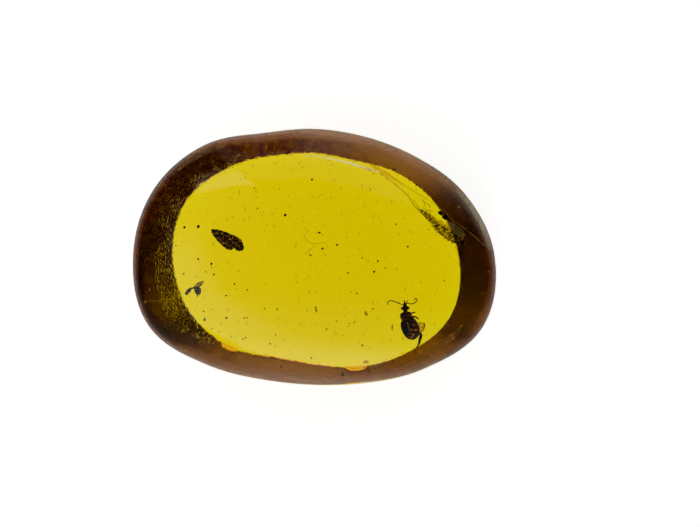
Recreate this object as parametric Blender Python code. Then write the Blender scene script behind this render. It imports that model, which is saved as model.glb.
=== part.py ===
"""A beetle and two scraps of plant sealed in a polished, cabochon-shaped piece of amber.

Run with: blender --background --python part.py
Metres, +Z up. The stone lies on its flat face at z = 0, with the middle of that face's box at the
origin and its long side along X. The amber is parted in two at the level of what is sealed in it,
so that each thing lies in a pocket that opens on the parting gap.
"""

import math

import bmesh
import bpy
from mathutils import Matrix, Vector

MM = 0.001

# The stone, in millimetres. Its outline is a smooth closed curve through radii that start at +X
# and go round towards +Y in even steps.
OUTLINE_RADII = (
    15.0, 13.6, 11.85, 10.85, 10.65, 11.15, 13.05, 14.45,
    15.0, 14.85, 12.6, 11.0, 10.6, 11.3, 13.05, 15.15,
)
# How far the flat face's edge lies inside the outline, at the same steps.
FACE_INSETS = (
    3.35, 3.0, 2.6, 2.7, 2.55, 2.6, 3.15, 3.2,
    3.6, 3.9, 2.75, 2.65, 2.35, 2.1, 2.5, 3.2,
)
HEIGHT = 6.0
GIRDLE_HEIGHT = 3.6  # the level where the stone is widest
DOME_RISE = 1.9  # how far the polished top swells above its shoulder
DOME_POWER = 3  # 2 would be an even dome, and more is flatter in the middle
SHOULDER_LONG_ENDS = 0.9  # width of the rounded shoulder at the two ends
SHOULDER_LONG_SIDES = 0.7
UNDERSIDE_SLOPE = math.radians(52)  # how steeply the lower side leaves the flat face
STEEPEST_SHARE = 0.9  # the lower side's slope runs up to at most this share of the girdle's height

AROUND = 64
UNDERSIDE_STEPS = 6
SHOULDER_STEPS = 4
DOME_SHARES = (0.85, 0.75, 0.62, 0.45, 0.22)  # rings of the dome, as shares of the way out from the middle

PARTING_HEIGHT = 3.2
PARTING_GAP = 0.3

# What is sealed in the stone: its place at the parting level, and its pocket's half sizes and turn.
BEETLE_AT = (7.51, -5.09)  # the waist, between the thorax and the wing cases
BEETLE_POCKET_AT = (-0.1, -0.35)  # from the waist
BEETLE_POCKET = (2.4, 2.8, 1.0)
SCALE_AT = (-7.13, 1.35)
SCALE_POCKET = (2.5, 1.5, 0.8)
SCALE_TURN = math.radians(-31)
SCRAP_AT = (-9.85, -2.63)
SCRAP_POCKET = (1.3, 1.3, 0.75)

# The beetle, in millimetres from its waist: X to its right side, Y towards its head, Z to its back.
WING_CASES = {"at": (0.33, -0.64, 0.02), "half": (0.68, 1.0, 0.40), "turn": 23, "roll": 9}
WING_CASES_FRONT = 0.74  # where the wing cases are cut off squarely, as a share of their half length
THORAX = {"at": (0.0, 0.36, 0.0), "half": (0.46, 0.31, 0.25), "turn": 6, "roll": 6}
NECK = {"at": (-0.07, 0.70, -0.01), "half": (0.18, 0.22, 0.14), "turn": 3, "roll": 0}
HEAD = {"at": (-0.08, 0.96, 0.0), "half": (0.25, 0.28, 0.20), "turn": 3, "roll": 0}
SNOUT = {"at": (-0.11, 1.15, -0.02), "half": (0.15, 0.27, 0.13), "turn": 6, "roll": 0}
EYE_RADIUS = 0.12
EYES_AT = ((-0.32, 0.92, 0.03), (0.16, 0.96, 0.03))
WAIST = {"at": (0.03, 0.05, -0.02), "half": (0.42, 0.16, 0.22), "turn": 14, "roll": 6}
SEAM_DEPTH = 0.04

# Limbs, each a chain of points with the limb's radius there.
LIMBS = {
    "left_antenna": (
        (-0.16, 1.18, 0.04, 0.045), (-0.42, 1.26, 0.09, 0.038), (-0.64, 1.34, 0.12, 0.042),
        (-0.92, 1.46, 0.14, 0.042), (-1.22, 1.55, 0.14, 0.042), (-1.42, 1.48, 0.12, 0.042),
        (-1.50, 1.34, 0.10, 0.042), (-1.50, 1.22, 0.08, 0.045),
    ),
    "right_antenna": (
        (-0.08, 1.28, 0.04, 0.045), (0.18, 1.33, 0.08, 0.038), (0.42, 1.27, 0.12, 0.042),
        (0.64, 1.33, 0.15, 0.042), (0.83, 1.49, 0.16, 0.042), (0.87, 1.64, 0.16, 0.042),
        (0.77, 1.70, 0.15, 0.042), (0.65, 1.62, 0.14, 0.045),
    ),
    "left_palp": ((-0.13, 1.34, -0.03, 0.045), (-0.16, 1.46, -0.04, 0.045), (-0.16, 1.57, -0.05, 0.065)),
    "right_palp": ((-0.04, 1.36, -0.03, 0.04), (0.05, 1.46, -0.04, 0.042), (0.11, 1.53, -0.05, 0.05)),
    "right_front_leg": (
        (0.10, 0.42, -0.14, 0.07), (0.42, 0.56, -0.17, 0.055), (0.62, 0.60, -0.19, 0.055),
        (0.73, 0.61, -0.20, 0.07),
    ),
    "right_middle_leg": (
        (0.25, 0.20, -0.15, 0.08), (0.60, 0.28, -0.19, 0.065), (0.83, 0.21, -0.21, 0.06),
        (1.00, 0.08, -0.22, 0.06),
    ),
    "right_hind_leg": (
        (0.55, -0.80, -0.18, 0.09), (0.98, -1.12, -0.20, 0.07), (1.22, -1.20, -0.20, 0.12),
        (1.12, -1.56, -0.20, 0.12), (1.06, -1.84, -0.20, 0.09), (0.94, -2.10, -0.22, 0.06),
        (0.76, -2.38, -0.24, 0.045),
    ),
    "left_front_leg": (
        (-0.20, 0.46, -0.12, 0.07), (-0.36, 0.42, -0.26, 0.06), (-0.22, 0.22, -0.34, 0.045),
        (0.02, 0.16, -0.36, 0.035),
    ),
    "left_middle_leg": (
        (-0.12, 0.06, -0.14, 0.08), (-0.26, -0.14, -0.32, 0.065), (-0.06, -0.40, -0.42, 0.05),
        (0.16, -0.62, -0.44, 0.035),
    ),
    "left_hind_leg": (
        (0.12, -0.50, -0.20, 0.09), (-0.04, -0.78, -0.38, 0.08), (0.20, -1.06, -0.42, 0.055),
        (0.46, -1.30, -0.40, 0.035),
    ),
}
LIMB_SIDES = 6
LIMB_STEPS = 2  # rings between two points of a limb's chain

# The bud scale, in millimetres from its middle: stations along it from the pointed tip to the
# broken stalk end, each with where it is, its lower edge and its upper edge.
SCALE_STATIONS = (
    (-1.57, 0.0, 0.12), (-1.40, -0.14, 0.25), (-1.10, -0.29, 0.36), (-0.80, -0.42, 0.45),
    (-0.45, -0.51, 0.53), (-0.05, -0.59, 0.58), (0.35, -0.64, 0.64), (0.68, -0.54, 0.67),
    (0.82, -0.22, 0.65), (0.96, -0.31, 0.60), (1.14, -0.32, 0.50), (1.36, -0.24, 0.30),
    (1.50, -0.08, 0.12),
)
SCALE_THICKNESS = 0.40
SCALE_EDGE = 0.08  # thickness left at the rim
SCALE_RIDGE = 0.03  # height of the ribs that run along it
SCALE_RIBS = 4
SCALE_COLUMNS = 12  # points across each face

# The plant scrap, in millimetres from its middle: a pod, a leaf tip, a knot and two broken fibres.
POD = {"at": (-0.46, -0.18, 0.0), "half": (0.15, 0.33, 0.14), "turn": -40, "roll": 0}
KNOT = {"at": (0.33, -0.10, 0.02), "half": (0.27, 0.28, 0.18), "turn": 10, "roll": 0}
LEAF_TIP = {"at": (0.34, 0.30, 0.05), "half": (0.19, 0.47, 0.07), "turn": -52, "roll": 15}
FIBRES = (
    ((-0.36, -0.02, 0.0, 0.08), (-0.12, 0.10, 0.02, 0.05), (0.10, 0.12, 0.03, 0.06), (0.30, 0.0, 0.03, 0.09)),
    ((0.30, -0.20, 0.0, 0.10), (0.28, -0.42, -0.02, 0.06), (0.27, -0.62, -0.04, 0.03)),
    ((0.34, -0.24, 0.0, 0.08), (0.43, -0.42, 0.02, 0.05), (0.46, -0.51, 0.03, 0.03)),
)

SMOOTH_UP_TO = math.radians(40)


def clear_scene():
    for obj in list(bpy.data.objects):
        bpy.data.objects.remove(obj, do_unlink=True)


def material(name, colour, roughness, alpha=1.0, transmission=0.0):
    made = bpy.data.materials.new(name)
    made.use_nodes = True
    made.diffuse_color = (*colour, alpha)
    shader = made.node_tree.nodes["Principled BSDF"]
    shader.inputs["Base Color"].default_value = (*colour, 1.0)
    shader.inputs["Roughness"].default_value = roughness
    shader.inputs["Metallic"].default_value = 0.0
    shader.inputs["Transmission Weight"].default_value = transmission
    return made


def object_from(bm, name, look=None):
    """Ends a bmesh as a named object with one material and faces pointing out."""
    bmesh.ops.recalc_face_normals(bm, faces=bm.faces)
    mesh = bpy.data.meshes.new(name)
    bm.to_mesh(mesh)
    bm.free()
    if look:
        mesh.materials.append(look)
    mesh.shade_smooth()
    mesh.set_sharp_from_angle(angle=SMOOTH_UP_TO)
    obj = bpy.data.objects.new(name, mesh)
    bpy.context.scene.collection.objects.link(obj)
    return obj


def helper(obj):
    """Marks a cutter or a piece that a Boolean joins, which is no part of its own."""
    obj.hide_render = True
    obj.display_type = "WIRE"
    return obj


def around(values, angle):
    """Reads a smooth closed curve through evenly spaced values (Catmull-Rom) at an angle."""
    count = len(values)
    place = (angle / math.tau * count) % count
    index = int(place)
    t = place - index
    before, here, after, beyond = (values[(index + k) % count] for k in (-1, 0, 1, 2))
    slope_here, slope_after = (after - before) / 2, (beyond - here) / 2
    bend = 2 * (here - after) + slope_here + slope_after
    return here + t * (slope_here + t * (3 * (after - here) - 2 * slope_here - slope_after + t * bend))


def outline_centre():
    """The middle of the outline's box, which becomes the origin."""
    points = []
    for step in range(AROUND):
        angle = math.tau * step / AROUND
        radius = around(OUTLINE_RADII, angle)
        points.append((radius * math.cos(angle), radius * math.sin(angle)))
    return [(min(axis) + max(axis)) / 2 for axis in zip(*points)]


def dome_height(share):
    """Height of the polished top at a share of the way out to the outline."""
    return HEIGHT - DOME_RISE * share**DOME_POWER


def section(angle):
    """The stone's outer line at an angle, from the flat face's edge to near the top: (radius, z)."""
    radius = around(OUTLINE_RADII, angle)
    inset = around(FACE_INSETS, angle)
    corner = min(inset * math.tan(UNDERSIDE_SLOPE), STEEPEST_SHARE * GIRDLE_HEIGHT)
    along = math.cos(angle) ** 2
    shoulder = SHOULDER_LONG_SIDES + (SHOULDER_LONG_ENDS - SHOULDER_LONG_SIDES) * along
    line = []
    for step in range(UNDERSIDE_STEPS + 1):
        t = step / UNDERSIDE_STEPS
        z = 2 * t * (1 - t) * corner + t * t * GIRDLE_HEIGHT
        line.append((radius - inset * (1 - t) ** 2, z))
    for step in range(1, SHOULDER_STEPS + 1):
        turn = math.pi / 2 * step / SHOULDER_STEPS
        out = radius - shoulder * (1 - math.cos(turn))
        swell = dome_height(out / radius) - dome_height(1)
        line.append((out, GIRDLE_HEIGHT + (dome_height(1) - GIRDLE_HEIGHT) * math.sin(turn) + swell))
    for share in DOME_SHARES:
        line.append((radius * share, dome_height(share)))
    return line


def join_rings(bm, rings):
    """Walls between each ring of points and the next."""
    for ring in rings:
        for here, after in zip(ring, ring[1:] + ring[:1]):
            bm.edges.new((here, after))
    for near, far in zip(rings, rings[1:]):
        edges = [bm.edges.get(pair) for ring in (near, far) for pair in zip(ring, ring[1:] + ring[:1])]
        bmesh.ops.bridge_loops(bm, edges=edges)


def stone_mesh():
    """The whole stone, closed: rings bridged from the flat face up to the top."""
    bm = bmesh.new()
    middle_x, middle_y = outline_centre()
    lines = []
    for step in range(AROUND):
        angle = math.tau * step / AROUND
        line = []
        for radius, z in section(angle):
            x, y = radius * math.cos(angle) - middle_x, radius * math.sin(angle) - middle_y
            line.append(bm.verts.new((x * MM, y * MM, z * MM)))
        lines.append(line)
    rings = list(zip(*lines))
    join_rings(bm, rings)
    bm.faces.new(rings[0])
    top = bm.faces.new(rings[-1])
    poked = bmesh.ops.poke(bm, faces=[top])
    poked["verts"][0].co = Vector((-middle_x, -middle_y, HEIGHT)) * MM
    bmesh.ops.recalc_face_normals(bm, faces=bm.faces)
    return bm


def amber_half(name, look, keep_upper):
    """The stone above or below the parting gap."""
    bm = stone_mesh()
    side = 1 if keep_upper else -1
    level = (PARTING_HEIGHT + side * PARTING_GAP / 2) * MM
    cut = bmesh.ops.bisect_plane(
        bm,
        geom=bm.verts[:] + bm.edges[:] + bm.faces[:],
        dist=1e-8,
        plane_co=(0, 0, level),
        plane_no=(0, 0, -side),
        clear_outer=True,
    )
    rim = [item for item in cut["geom_cut"] if isinstance(item, bmesh.types.BMEdge)]
    bmesh.ops.edgeloop_fill(bm, edges=rim)
    return object_from(bm, name, look)


def placed(at, half, turn, roll):
    """A matrix that sizes a unit ball, rolls it about Y, turns it about Z and moves it, from mm."""
    return (
        Matrix.Translation(Vector(at) * MM)
        @ Matrix.Rotation(math.radians(turn), 4, "Z")
        @ Matrix.Rotation(math.radians(roll), 4, "Y")
        @ Matrix.Diagonal((*(Vector(half) * MM), 1))
    )


def pocket(name, at, half, turn=0.0):
    bm = bmesh.new()
    shape = placed((*at, PARTING_HEIGHT), half, math.degrees(turn), 0)
    bmesh.ops.create_uvsphere(bm, u_segments=28, v_segments=14, radius=1, matrix=shape)
    return helper(object_from(bm, name))


def squared(share, power):
    """The half width of a rounded block at a share of its half length."""
    return max(0.0, 1 - abs(share) ** power) ** (1 / power)


def lump(
    name, at, half, turn, roll, segments=16, rings=10, power=2.0, groove=0.0, flat_below=1.0, front=1.0
):
    """A ball with its poles on Y, squared off by power and cut off at front, grooved along its top."""
    bm = bmesh.new()
    upright = Matrix.Rotation(math.pi / 2, 4, "X")
    bmesh.ops.create_uvsphere(bm, u_segments=segments, v_segments=rings, radius=1, matrix=upright)
    for vert in bm.verts:
        ring = math.hypot(vert.co.x, vert.co.z)
        if ring > 1e-6:
            wider = squared(vert.co.y, power) / ring
            vert.co.x *= wider
            vert.co.z *= wider
        if vert.co.z > 0.05 and abs(vert.co.x) < 1e-4:
            vert.co.z -= groove
        if vert.co.z < 0:
            vert.co.z *= flat_below
        vert.co.y = min(vert.co.y, front)
    bmesh.ops.transform(bm, matrix=placed(at, half, turn, roll), verts=bm.verts)
    return object_from(bm, name)


def smooth_chain(chain):
    """The chain with points added between its own on a smooth curve (Catmull-Rom)."""
    knots = [Vector(entry) for entry in chain]
    line = []
    for index in range(len(knots) - 1):
        here, after = knots[index], knots[index + 1]
        before = knots[max(index - 1, 0)]
        beyond = knots[min(index + 2, len(knots) - 1)]
        for step in range(LIMB_STEPS):
            t = step / LIMB_STEPS
            slope_here, slope_after = (after - before) / 2, (beyond - here) / 2
            bend = 2 * (here - after) + slope_here + slope_after
            lean = 3 * (after - here) - 2 * slope_here - slope_after
            line.append(here + t * (slope_here + t * (lean + t * bend)))
    return line + [knots[-1]]


def limb(name, chain, at=(0.0, 0.0, 0.0)):
    """A closed tube of changing radius along a chain of (x, y, z, radius), in mm."""
    line = smooth_chain(chain)
    points = [Vector(entry[:3]) + Vector(at) for entry in line]
    bm = bmesh.new()
    rings = []
    for index, entry in enumerate(line):
        ahead = points[min(index + 1, len(points) - 1)] - points[max(index - 1, 0)]
        facing = ahead.to_track_quat("Z", "Y").to_matrix().to_4x4()
        made = bmesh.ops.create_circle(
            bm,
            cap_ends=False,
            segments=LIMB_SIDES,
            radius=entry[3] * MM,
            matrix=Matrix.Translation(points[index] * MM) @ facing,
        )
        rings.append([edge for vert in made["verts"] for edge in vert.link_edges])
    for near, far in zip(rings, rings[1:]):
        bmesh.ops.bridge_loops(bm, edges=list(set(near + far)))
    bmesh.ops.holes_fill(bm, edges=[edge for edge in bm.edges if edge.is_boundary])
    return object_from(bm, name)


def fuse(base, pieces, name, look):
    """Joins pieces to a base as one closed body, and leaves the pieces as helpers."""
    base.name = name
    base.data.name = name
    base.data.materials.append(look)
    group = bpy.data.collections.new(name + "_pieces")
    bpy.context.scene.collection.children.link(group)
    for piece in pieces:
        bpy.context.scene.collection.objects.unlink(helper(piece))
        group.objects.link(piece)
    joined = base.modifiers.new("fuse", "BOOLEAN")
    joined.operation = "UNION"
    joined.operand_type = "COLLECTION"
    joined.collection = group
    joined.solver = "EXACT"
    return base


def shifted(spec, at):
    """A lump's settings with its place counted from a point at the parting level."""
    x, y, z = spec["at"]
    return {**spec, "at": (x + at[0], y + at[1], z + PARTING_HEIGHT)}


def beetle():
    chitin = material("black_brown_chitin", (0.035, 0.016, 0.008), 0.35)
    groove = SEAM_DEPTH / WING_CASES["half"][2]
    cases = lump("wing_cases", groove=groove, flat_below=0.72, front=WING_CASES_FRONT,
                 segments=24, rings=16, **shifted(WING_CASES, BEETLE_AT))
    pieces = [
        lump("waist", **shifted(WAIST, BEETLE_AT)),
        lump("thorax", power=2.4, segments=20, **shifted(THORAX, BEETLE_AT)),
        lump("neck", **shifted(NECK, BEETLE_AT)),
        lump("head", **shifted(HEAD, BEETLE_AT)),
        lump("snout", **shifted(SNOUT, BEETLE_AT)),
    ]
    for index, eye in enumerate(EYES_AT):
        spec = {"at": eye, "half": (EYE_RADIUS,) * 3, "turn": 0, "roll": 0}
        pieces.append(lump(f"eye_{index}", segments=12, rings=8, **shifted(spec, BEETLE_AT)))
    for name, chain in LIMBS.items():
        pieces.append(limb(name, chain, (*BEETLE_AT, PARTING_HEIGHT)))
    return fuse(cases, pieces, "beetle", chitin)


def scale_ring(place, lower, upper):
    """The points round the bud scale at one station: over its upper face and back under it."""
    points = []
    for side in (1, -1):
        for column in range(SCALE_COLUMNS):
            share = column / (SCALE_COLUMNS - 1)
            if side < 0:
                share = 1 - share
            fuller = math.sin(math.pi * share) * min(1.0, (upper - lower) / SCALE_THICKNESS)
            rib = SCALE_RIDGE * fuller * math.cos(math.tau * SCALE_RIBS * share)
            z = side * (SCALE_EDGE + (SCALE_THICKNESS - SCALE_EDGE) * fuller) / 2 + rib
            points.append(Vector((place, lower + (upper - lower) * share, z)))
    return points


def bud_scale():
    """A thin pointed scale, thickest along its middle, with low ribs along it."""
    bark = material("brown_bud_scale", (0.09, 0.045, 0.015), 0.7)
    lie = Matrix.Translation(Vector((*SCALE_AT, PARTING_HEIGHT))) @ Matrix.Rotation(SCALE_TURN, 4, "Z")
    bm = bmesh.new()
    rings = [
        [bm.verts.new((lie @ point) * MM) for point in scale_ring(*station)]
        for station in SCALE_STATIONS
    ]
    join_rings(bm, rings)
    for ring in (rings[0], rings[-1]):
        bm.faces.new(ring)
    return object_from(bm, "bud_scale", bark)


def plant_scrap():
    fibre = material("olive_brown_plant_fibre", (0.06, 0.045, 0.012), 0.75)
    pieces = [
        lump("leaf_tip", segments=12, rings=8, **shifted(LEAF_TIP, SCRAP_AT)),
        lump("knot", segments=12, rings=8, **shifted(KNOT, SCRAP_AT)),
    ]
    for index, chain in enumerate(FIBRES):
        pieces.append(limb(f"fibre_{index}", chain, (*SCRAP_AT, PARTING_HEIGHT)))
    pod = lump("pod", segments=12, rings=8, **shifted(POD, SCRAP_AT))
    return fuse(pod, pieces, "plant_scrap", fibre)


def amber():
    """Both halves, with the pockets cut from each."""
    resin = material("polished_amber", (0.63, 0.50, 0.02), 0.05, alpha=0.35, transmission=1.0)
    beetle_pocket_at = (BEETLE_AT[0] + BEETLE_POCKET_AT[0], BEETLE_AT[1] + BEETLE_POCKET_AT[1])
    cutters = (
        pocket("beetle_pocket", beetle_pocket_at, BEETLE_POCKET),
        pocket("bud_scale_pocket", SCALE_AT, SCALE_POCKET, SCALE_TURN),
        pocket("plant_scrap_pocket", SCRAP_AT, SCRAP_POCKET),
    )
    halves = (
        amber_half("amber_lower", resin, keep_upper=False),
        amber_half("amber_upper", resin, keep_upper=True),
    )
    for half in halves:
        for cutter in cutters:
            cut = half.modifiers.new(cutter.name, "BOOLEAN")
            cut.operation = "DIFFERENCE"
            cut.solver = "EXACT"
            cut.object = cutter


def main():
    clear_scene()
    amber()
    beetle()
    bud_scale()
    plant_scrap()


main()
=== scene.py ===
"""Insect in amber: a clear polished stone and the beetle, bud scale, plant scrap and dust sealed in it.

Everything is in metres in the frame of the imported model: the stone lies on its flat face at z = 0,
with its long side along X. Places are written in millimetres in that frame, and MM turns them to metres.
"""

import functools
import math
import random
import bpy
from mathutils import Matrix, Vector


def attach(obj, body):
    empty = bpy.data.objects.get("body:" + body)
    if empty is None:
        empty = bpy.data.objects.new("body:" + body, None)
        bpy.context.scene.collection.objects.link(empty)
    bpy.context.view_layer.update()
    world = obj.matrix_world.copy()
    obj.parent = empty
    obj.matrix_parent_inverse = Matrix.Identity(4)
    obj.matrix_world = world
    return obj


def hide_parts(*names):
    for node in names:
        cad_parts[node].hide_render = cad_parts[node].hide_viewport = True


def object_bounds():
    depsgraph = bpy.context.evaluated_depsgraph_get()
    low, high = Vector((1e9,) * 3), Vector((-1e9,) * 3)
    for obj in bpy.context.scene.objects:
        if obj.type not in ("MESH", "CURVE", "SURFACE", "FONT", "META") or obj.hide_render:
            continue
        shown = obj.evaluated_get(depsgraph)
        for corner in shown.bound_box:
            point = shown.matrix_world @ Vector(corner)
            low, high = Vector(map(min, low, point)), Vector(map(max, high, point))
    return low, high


bl_info = {
    "name": "Insect in amber",
    "version": (1, 0, 0),
    "blender": (4, 5, 0),
    "location": "View3D > Sidebar > Amber",
    "description": "A polished amber stone, the beetle and plant pieces sealed in it, and a plain stage",
    "category": "Object",
}

import bmesh
import bpy
from mathutils import Matrix, Vector, noise

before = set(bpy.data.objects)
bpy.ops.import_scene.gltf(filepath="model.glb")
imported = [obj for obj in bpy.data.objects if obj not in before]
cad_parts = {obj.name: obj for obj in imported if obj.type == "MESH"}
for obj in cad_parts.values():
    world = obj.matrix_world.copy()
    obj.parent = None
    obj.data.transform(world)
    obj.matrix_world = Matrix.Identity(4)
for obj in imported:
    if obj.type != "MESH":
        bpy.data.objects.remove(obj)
CAD_LOW, CAD_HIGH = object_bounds()

MM = 0.001

# The stone: a smooth closed outline through radii that start at +X and go round towards +Y in even
# steps, and how far the flat face's edge lies inside it at the same steps.
OUTLINE_RADII = (
    15.0, 13.6, 11.85, 10.85, 10.65, 11.15, 13.05, 14.45,
    15.0, 14.85, 12.6, 11.0, 10.6, 11.3, 13.05, 15.15,
)
FACE_INSETS = (
    3.35, 3.0, 2.6, 2.7, 2.55, 2.6, 3.15, 3.2,
    3.6, 3.9, 2.85, 2.65, 2.35, 2.1, 2.5, 3.2,
)
STONE_HEIGHT = CAD_HIGH.z / MM
GIRDLE_HEIGHT = 3.6
DOME_RISE = 1.9
DOME_POWER = 3
SHOULDER_LONG_ENDS = 0.9
SHOULDER_LONG_SIDES = 0.7
UNDERSIDE_SLOPE = math.radians(52)
STEEPEST_SHARE = 0.9

# The ball that the stone is shaped from, and the shares of the way from its equator to a pole that
# become the flat face, and the shoulder.
STONE_AROUND = 512
STONE_RINGS = 150
FACE_SHARE = 0.12
SHOULDER_SHARE = 0.30

# How coarsely the lower side was ground, from 0 to 1, at the outline's steps.
GRIT_AROUND = (
    0.2, 0.3, 0.45, 0.5, 0.75, 1.0, 1.0, 1.0,
    1.0, 1.0, 0.9, 0.6, 0.5, 0.5, 0.35, 0.25,
)
CHIP_DEPTH = 0.10  # how ragged the flat face's edge is where the grinding is coarsest
CHIP_REACH = 2.5 * CHIP_DEPTH  # how far from that edge the chips fade out
CHIP_SIZE = 0.30
GIRTH_RADIUS = 11.0  # of the circle that stands for the rim where a pattern runs along it
PIT_LENGTH, PIT_WIDTH = 0.30, 0.12  # along the rim and across it
PIT_CLIMB = 0.7  # how far a millimetre up the side counts as a way across the rim
PIT_DEPTH = 0.022
PIT_SWARM_SIZE = 1.1
PITTED_INSIDE = 0.25  # how far pits reach inside the flat face's edge
PITTED_OUTSIDE = (0.6, 2.1)  # where they begin to thin out, and end, outside it
GROUND_STARTS = (0.01, 0.05)  # heights between which the flat face's polish gives way to the ground side
GROUND_ENDS = (2.2, 3.4)  # heights between which the ground side gives way to the polished top
GRIT_SIZE, GRIT_DEPTH = 0.22, 0.02  # scratches of the grinding
# Fractal noise for torn and lumpy shapes: how fast it fades, the step of its octaves and their number.
ROUGH = (0.8, 2.0, 3)
# Nicks that carry the flat face outwards: middle angle, half the angle that each covers, and reach.
NICKS = ((225.5, 4.2, 0.32), (292.0, 5.4, 0.32), (258.0, 26.0, 0.05))

# Painted shade: a brown filter skin just inside the lower side darkens the dark rim: how much at the
# outline's steps.
SKIN_AROUND = (
    0.8, 0.4, 0.1, 0.3, 0.85, 1.0, 0.85, 0.7,
    0.7, 0.35, 0.2, 0.0, -0.1, 0.2, 0.1, -0.1,
)
SKIN_END = 0.75  # along the lower side's curve
SKIN_STARTS = (0.30, 0.80)  # how far inside the outline it begins, at the long ends and sides
SKIN_FADE = 0.40
SKIN_DEPTH = 0.05
SKIN_THICKNESS = 0.02
SKIN_PATCH = 0.45
SKIN_SEGMENTS, SKIN_CUTS = 360, 15

# What is sealed in the stone lies at this level.
LEVEL = 3.2
BEETLE_AT = Vector((7.51, -5.09, LEVEL))  # the waist
SCALE_AT = Vector((-7.13, 1.35, LEVEL))
SCALE_TURN = math.radians(-31)
SCRAP_AT = Vector((-9.85, -2.63, LEVEL))

# The beetle, from its waist: X to its right side, Y towards its head, Z to its back.
WING_CASES = {"at": (0.33, -0.64, 0.02), "half": (0.72, 1.0, 0.40), "turn": 23, "roll": 9}
WING_CASES_FRONT = 0.74
WING_CASES_FLAT_BELOW = 0.72
SEAM_DEPTH = 0.04  # of the line between the wing cases
SEAM_FROM, SEAM_REACH = 0.05, 0.04  # shares of half the cases' height and width: where it starts, and ends
STRIAE = 9  # fine grooves along each wing case
STRIA_DEPTH = 0.012
CASE_REDNESS = (0.35, 0.8, -1.1)  # in the middle of the cases, and its growth to the right and the front
FRONT_REDNESS = 0.25
THORAX = {"at": (0.0, 0.36, 0.0), "half": (0.46, 0.31, 0.25), "turn": 6, "roll": 6}
NECK = {"at": (-0.07, 0.70, -0.01), "half": (0.18, 0.22, 0.14), "turn": 3, "roll": 0}
HEAD = {"at": (-0.08, 0.96, 0.0), "half": (0.25, 0.28, 0.20), "turn": 3, "roll": 0}
SNOUT = {"at": (-0.11, 1.15, -0.02), "half": (0.15, 0.27, 0.13), "turn": 6, "roll": 0}
WAIST = {"at": (0.03, 0.05, -0.02), "half": (0.42, 0.16, 0.22), "turn": 14, "roll": 6}
EYE_RADIUS = 0.12
EYES_AT = ((-0.32, 0.92, 0.03), (0.16, 0.96, 0.03))
THORAX_MARGINS = (
    {"at": (-0.40, 0.28, 0.12), "half": (0.10, 0.24, 0.10), "turn": 8, "roll": 0},
    {"at": (0.40, 0.36, 0.12), "half": (0.09, 0.22, 0.10), "turn": 2, "roll": 0},
)
THORAX_SPOTS = (
    {"at": (-0.01, 0.38, 0.20), "half": (0.05, 0.07, 0.06), "turn": 0, "roll": 0},
    {"at": (0.15, 0.39, 0.20), "half": (0.06, 0.08, 0.06), "turn": 0, "roll": 0},
)

# Limbs, each a chain of points with the limb's radius there.
ANTENNAE = (
    (
        (-0.16, 1.18, 0.04, 0.045), (-0.42, 1.26, 0.09, 0.038), (-0.64, 1.34, 0.12, 0.042),
        (-0.92, 1.46, 0.14, 0.042), (-1.22, 1.55, 0.14, 0.042), (-1.42, 1.48, 0.12, 0.042),
        (-1.50, 1.34, 0.10, 0.042), (-1.50, 1.22, 0.08, 0.045),
    ),
    (
        (-0.08, 1.28, 0.04, 0.045), (0.18, 1.33, 0.08, 0.038), (0.42, 1.27, 0.12, 0.042),
        (0.64, 1.33, 0.15, 0.042), (0.83, 1.49, 0.16, 0.042), (0.87, 1.64, 0.16, 0.042),
        (0.77, 1.70, 0.15, 0.042), (0.65, 1.62, 0.14, 0.045),
    ),
)
LEGS_AND_PALPS = (
    ((-0.13, 1.34, -0.03, 0.045), (-0.16, 1.46, -0.04, 0.045), (-0.16, 1.57, -0.05, 0.065)),
    ((-0.04, 1.36, -0.03, 0.04), (0.05, 1.46, -0.04, 0.042), (0.11, 1.53, -0.05, 0.05)),
    (
        (0.10, 0.42, -0.14, 0.07), (0.42, 0.56, -0.17, 0.055), (0.62, 0.60, -0.19, 0.055),
        (0.73, 0.61, -0.20, 0.07),
    ),
    (
        (0.25, 0.20, -0.15, 0.08), (0.60, 0.28, -0.19, 0.065), (0.83, 0.21, -0.21, 0.06),
        (1.00, 0.08, -0.22, 0.06),
    ),
    (
        (0.55, -0.80, -0.18, 0.09), (0.98, -1.12, -0.20, 0.07), (1.22, -1.20, -0.20, 0.12),
        (1.12, -1.56, -0.20, 0.12), (1.06, -1.84, -0.20, 0.09), (0.94, -2.10, -0.22, 0.06),
        (0.76, -2.38, -0.24, 0.045),
    ),
    (
        (-0.20, 0.46, -0.12, 0.07), (-0.36, 0.42, -0.26, 0.06), (-0.22, 0.22, -0.34, 0.045),
        (0.02, 0.16, -0.36, 0.035),
    ),
    (
        (-0.12, 0.06, -0.14, 0.08), (-0.26, -0.14, -0.32, 0.065), (-0.06, -0.40, -0.42, 0.05),
        (0.16, -0.62, -0.44, 0.035),
    ),
    (
        (0.12, -0.50, -0.20, 0.09), (-0.04, -0.78, -0.38, 0.08), (0.20, -1.06, -0.42, 0.055),
        (0.46, -1.30, -0.40, 0.035),
    ),
)
COLLAR = (
    (-0.44, 0.02, 0.16, 0.04), (-0.20, 0.02, 0.24, 0.05), (0.10, 0.04, 0.27, 0.05), (0.38, 0.12, 0.20, 0.04),
)
SEAM_STREAK = (
    (0.07, -0.16, 0.37, 0.035), (0.12, -0.26, 0.40, 0.075), (0.17, -0.46, 0.42, 0.055),
    (0.26, -0.80, 0.42, 0.035), (0.38, -1.10, 0.38, 0.03), (0.48, -1.32, 0.31, 0.03),
)
HIND_WING = {"at": (1.12, -0.60, -0.12), "half": (0.40, 0.44, 0.03), "turn": -20, "roll": 12}
HIND_WING_EDGE = (
    (1.42, -0.22, -0.08, 0.035), (1.53, -0.36, -0.10, 0.055), (1.47, -0.62, -0.12, 0.045),
    (1.34, -0.88, -0.14, 0.03),
)
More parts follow.
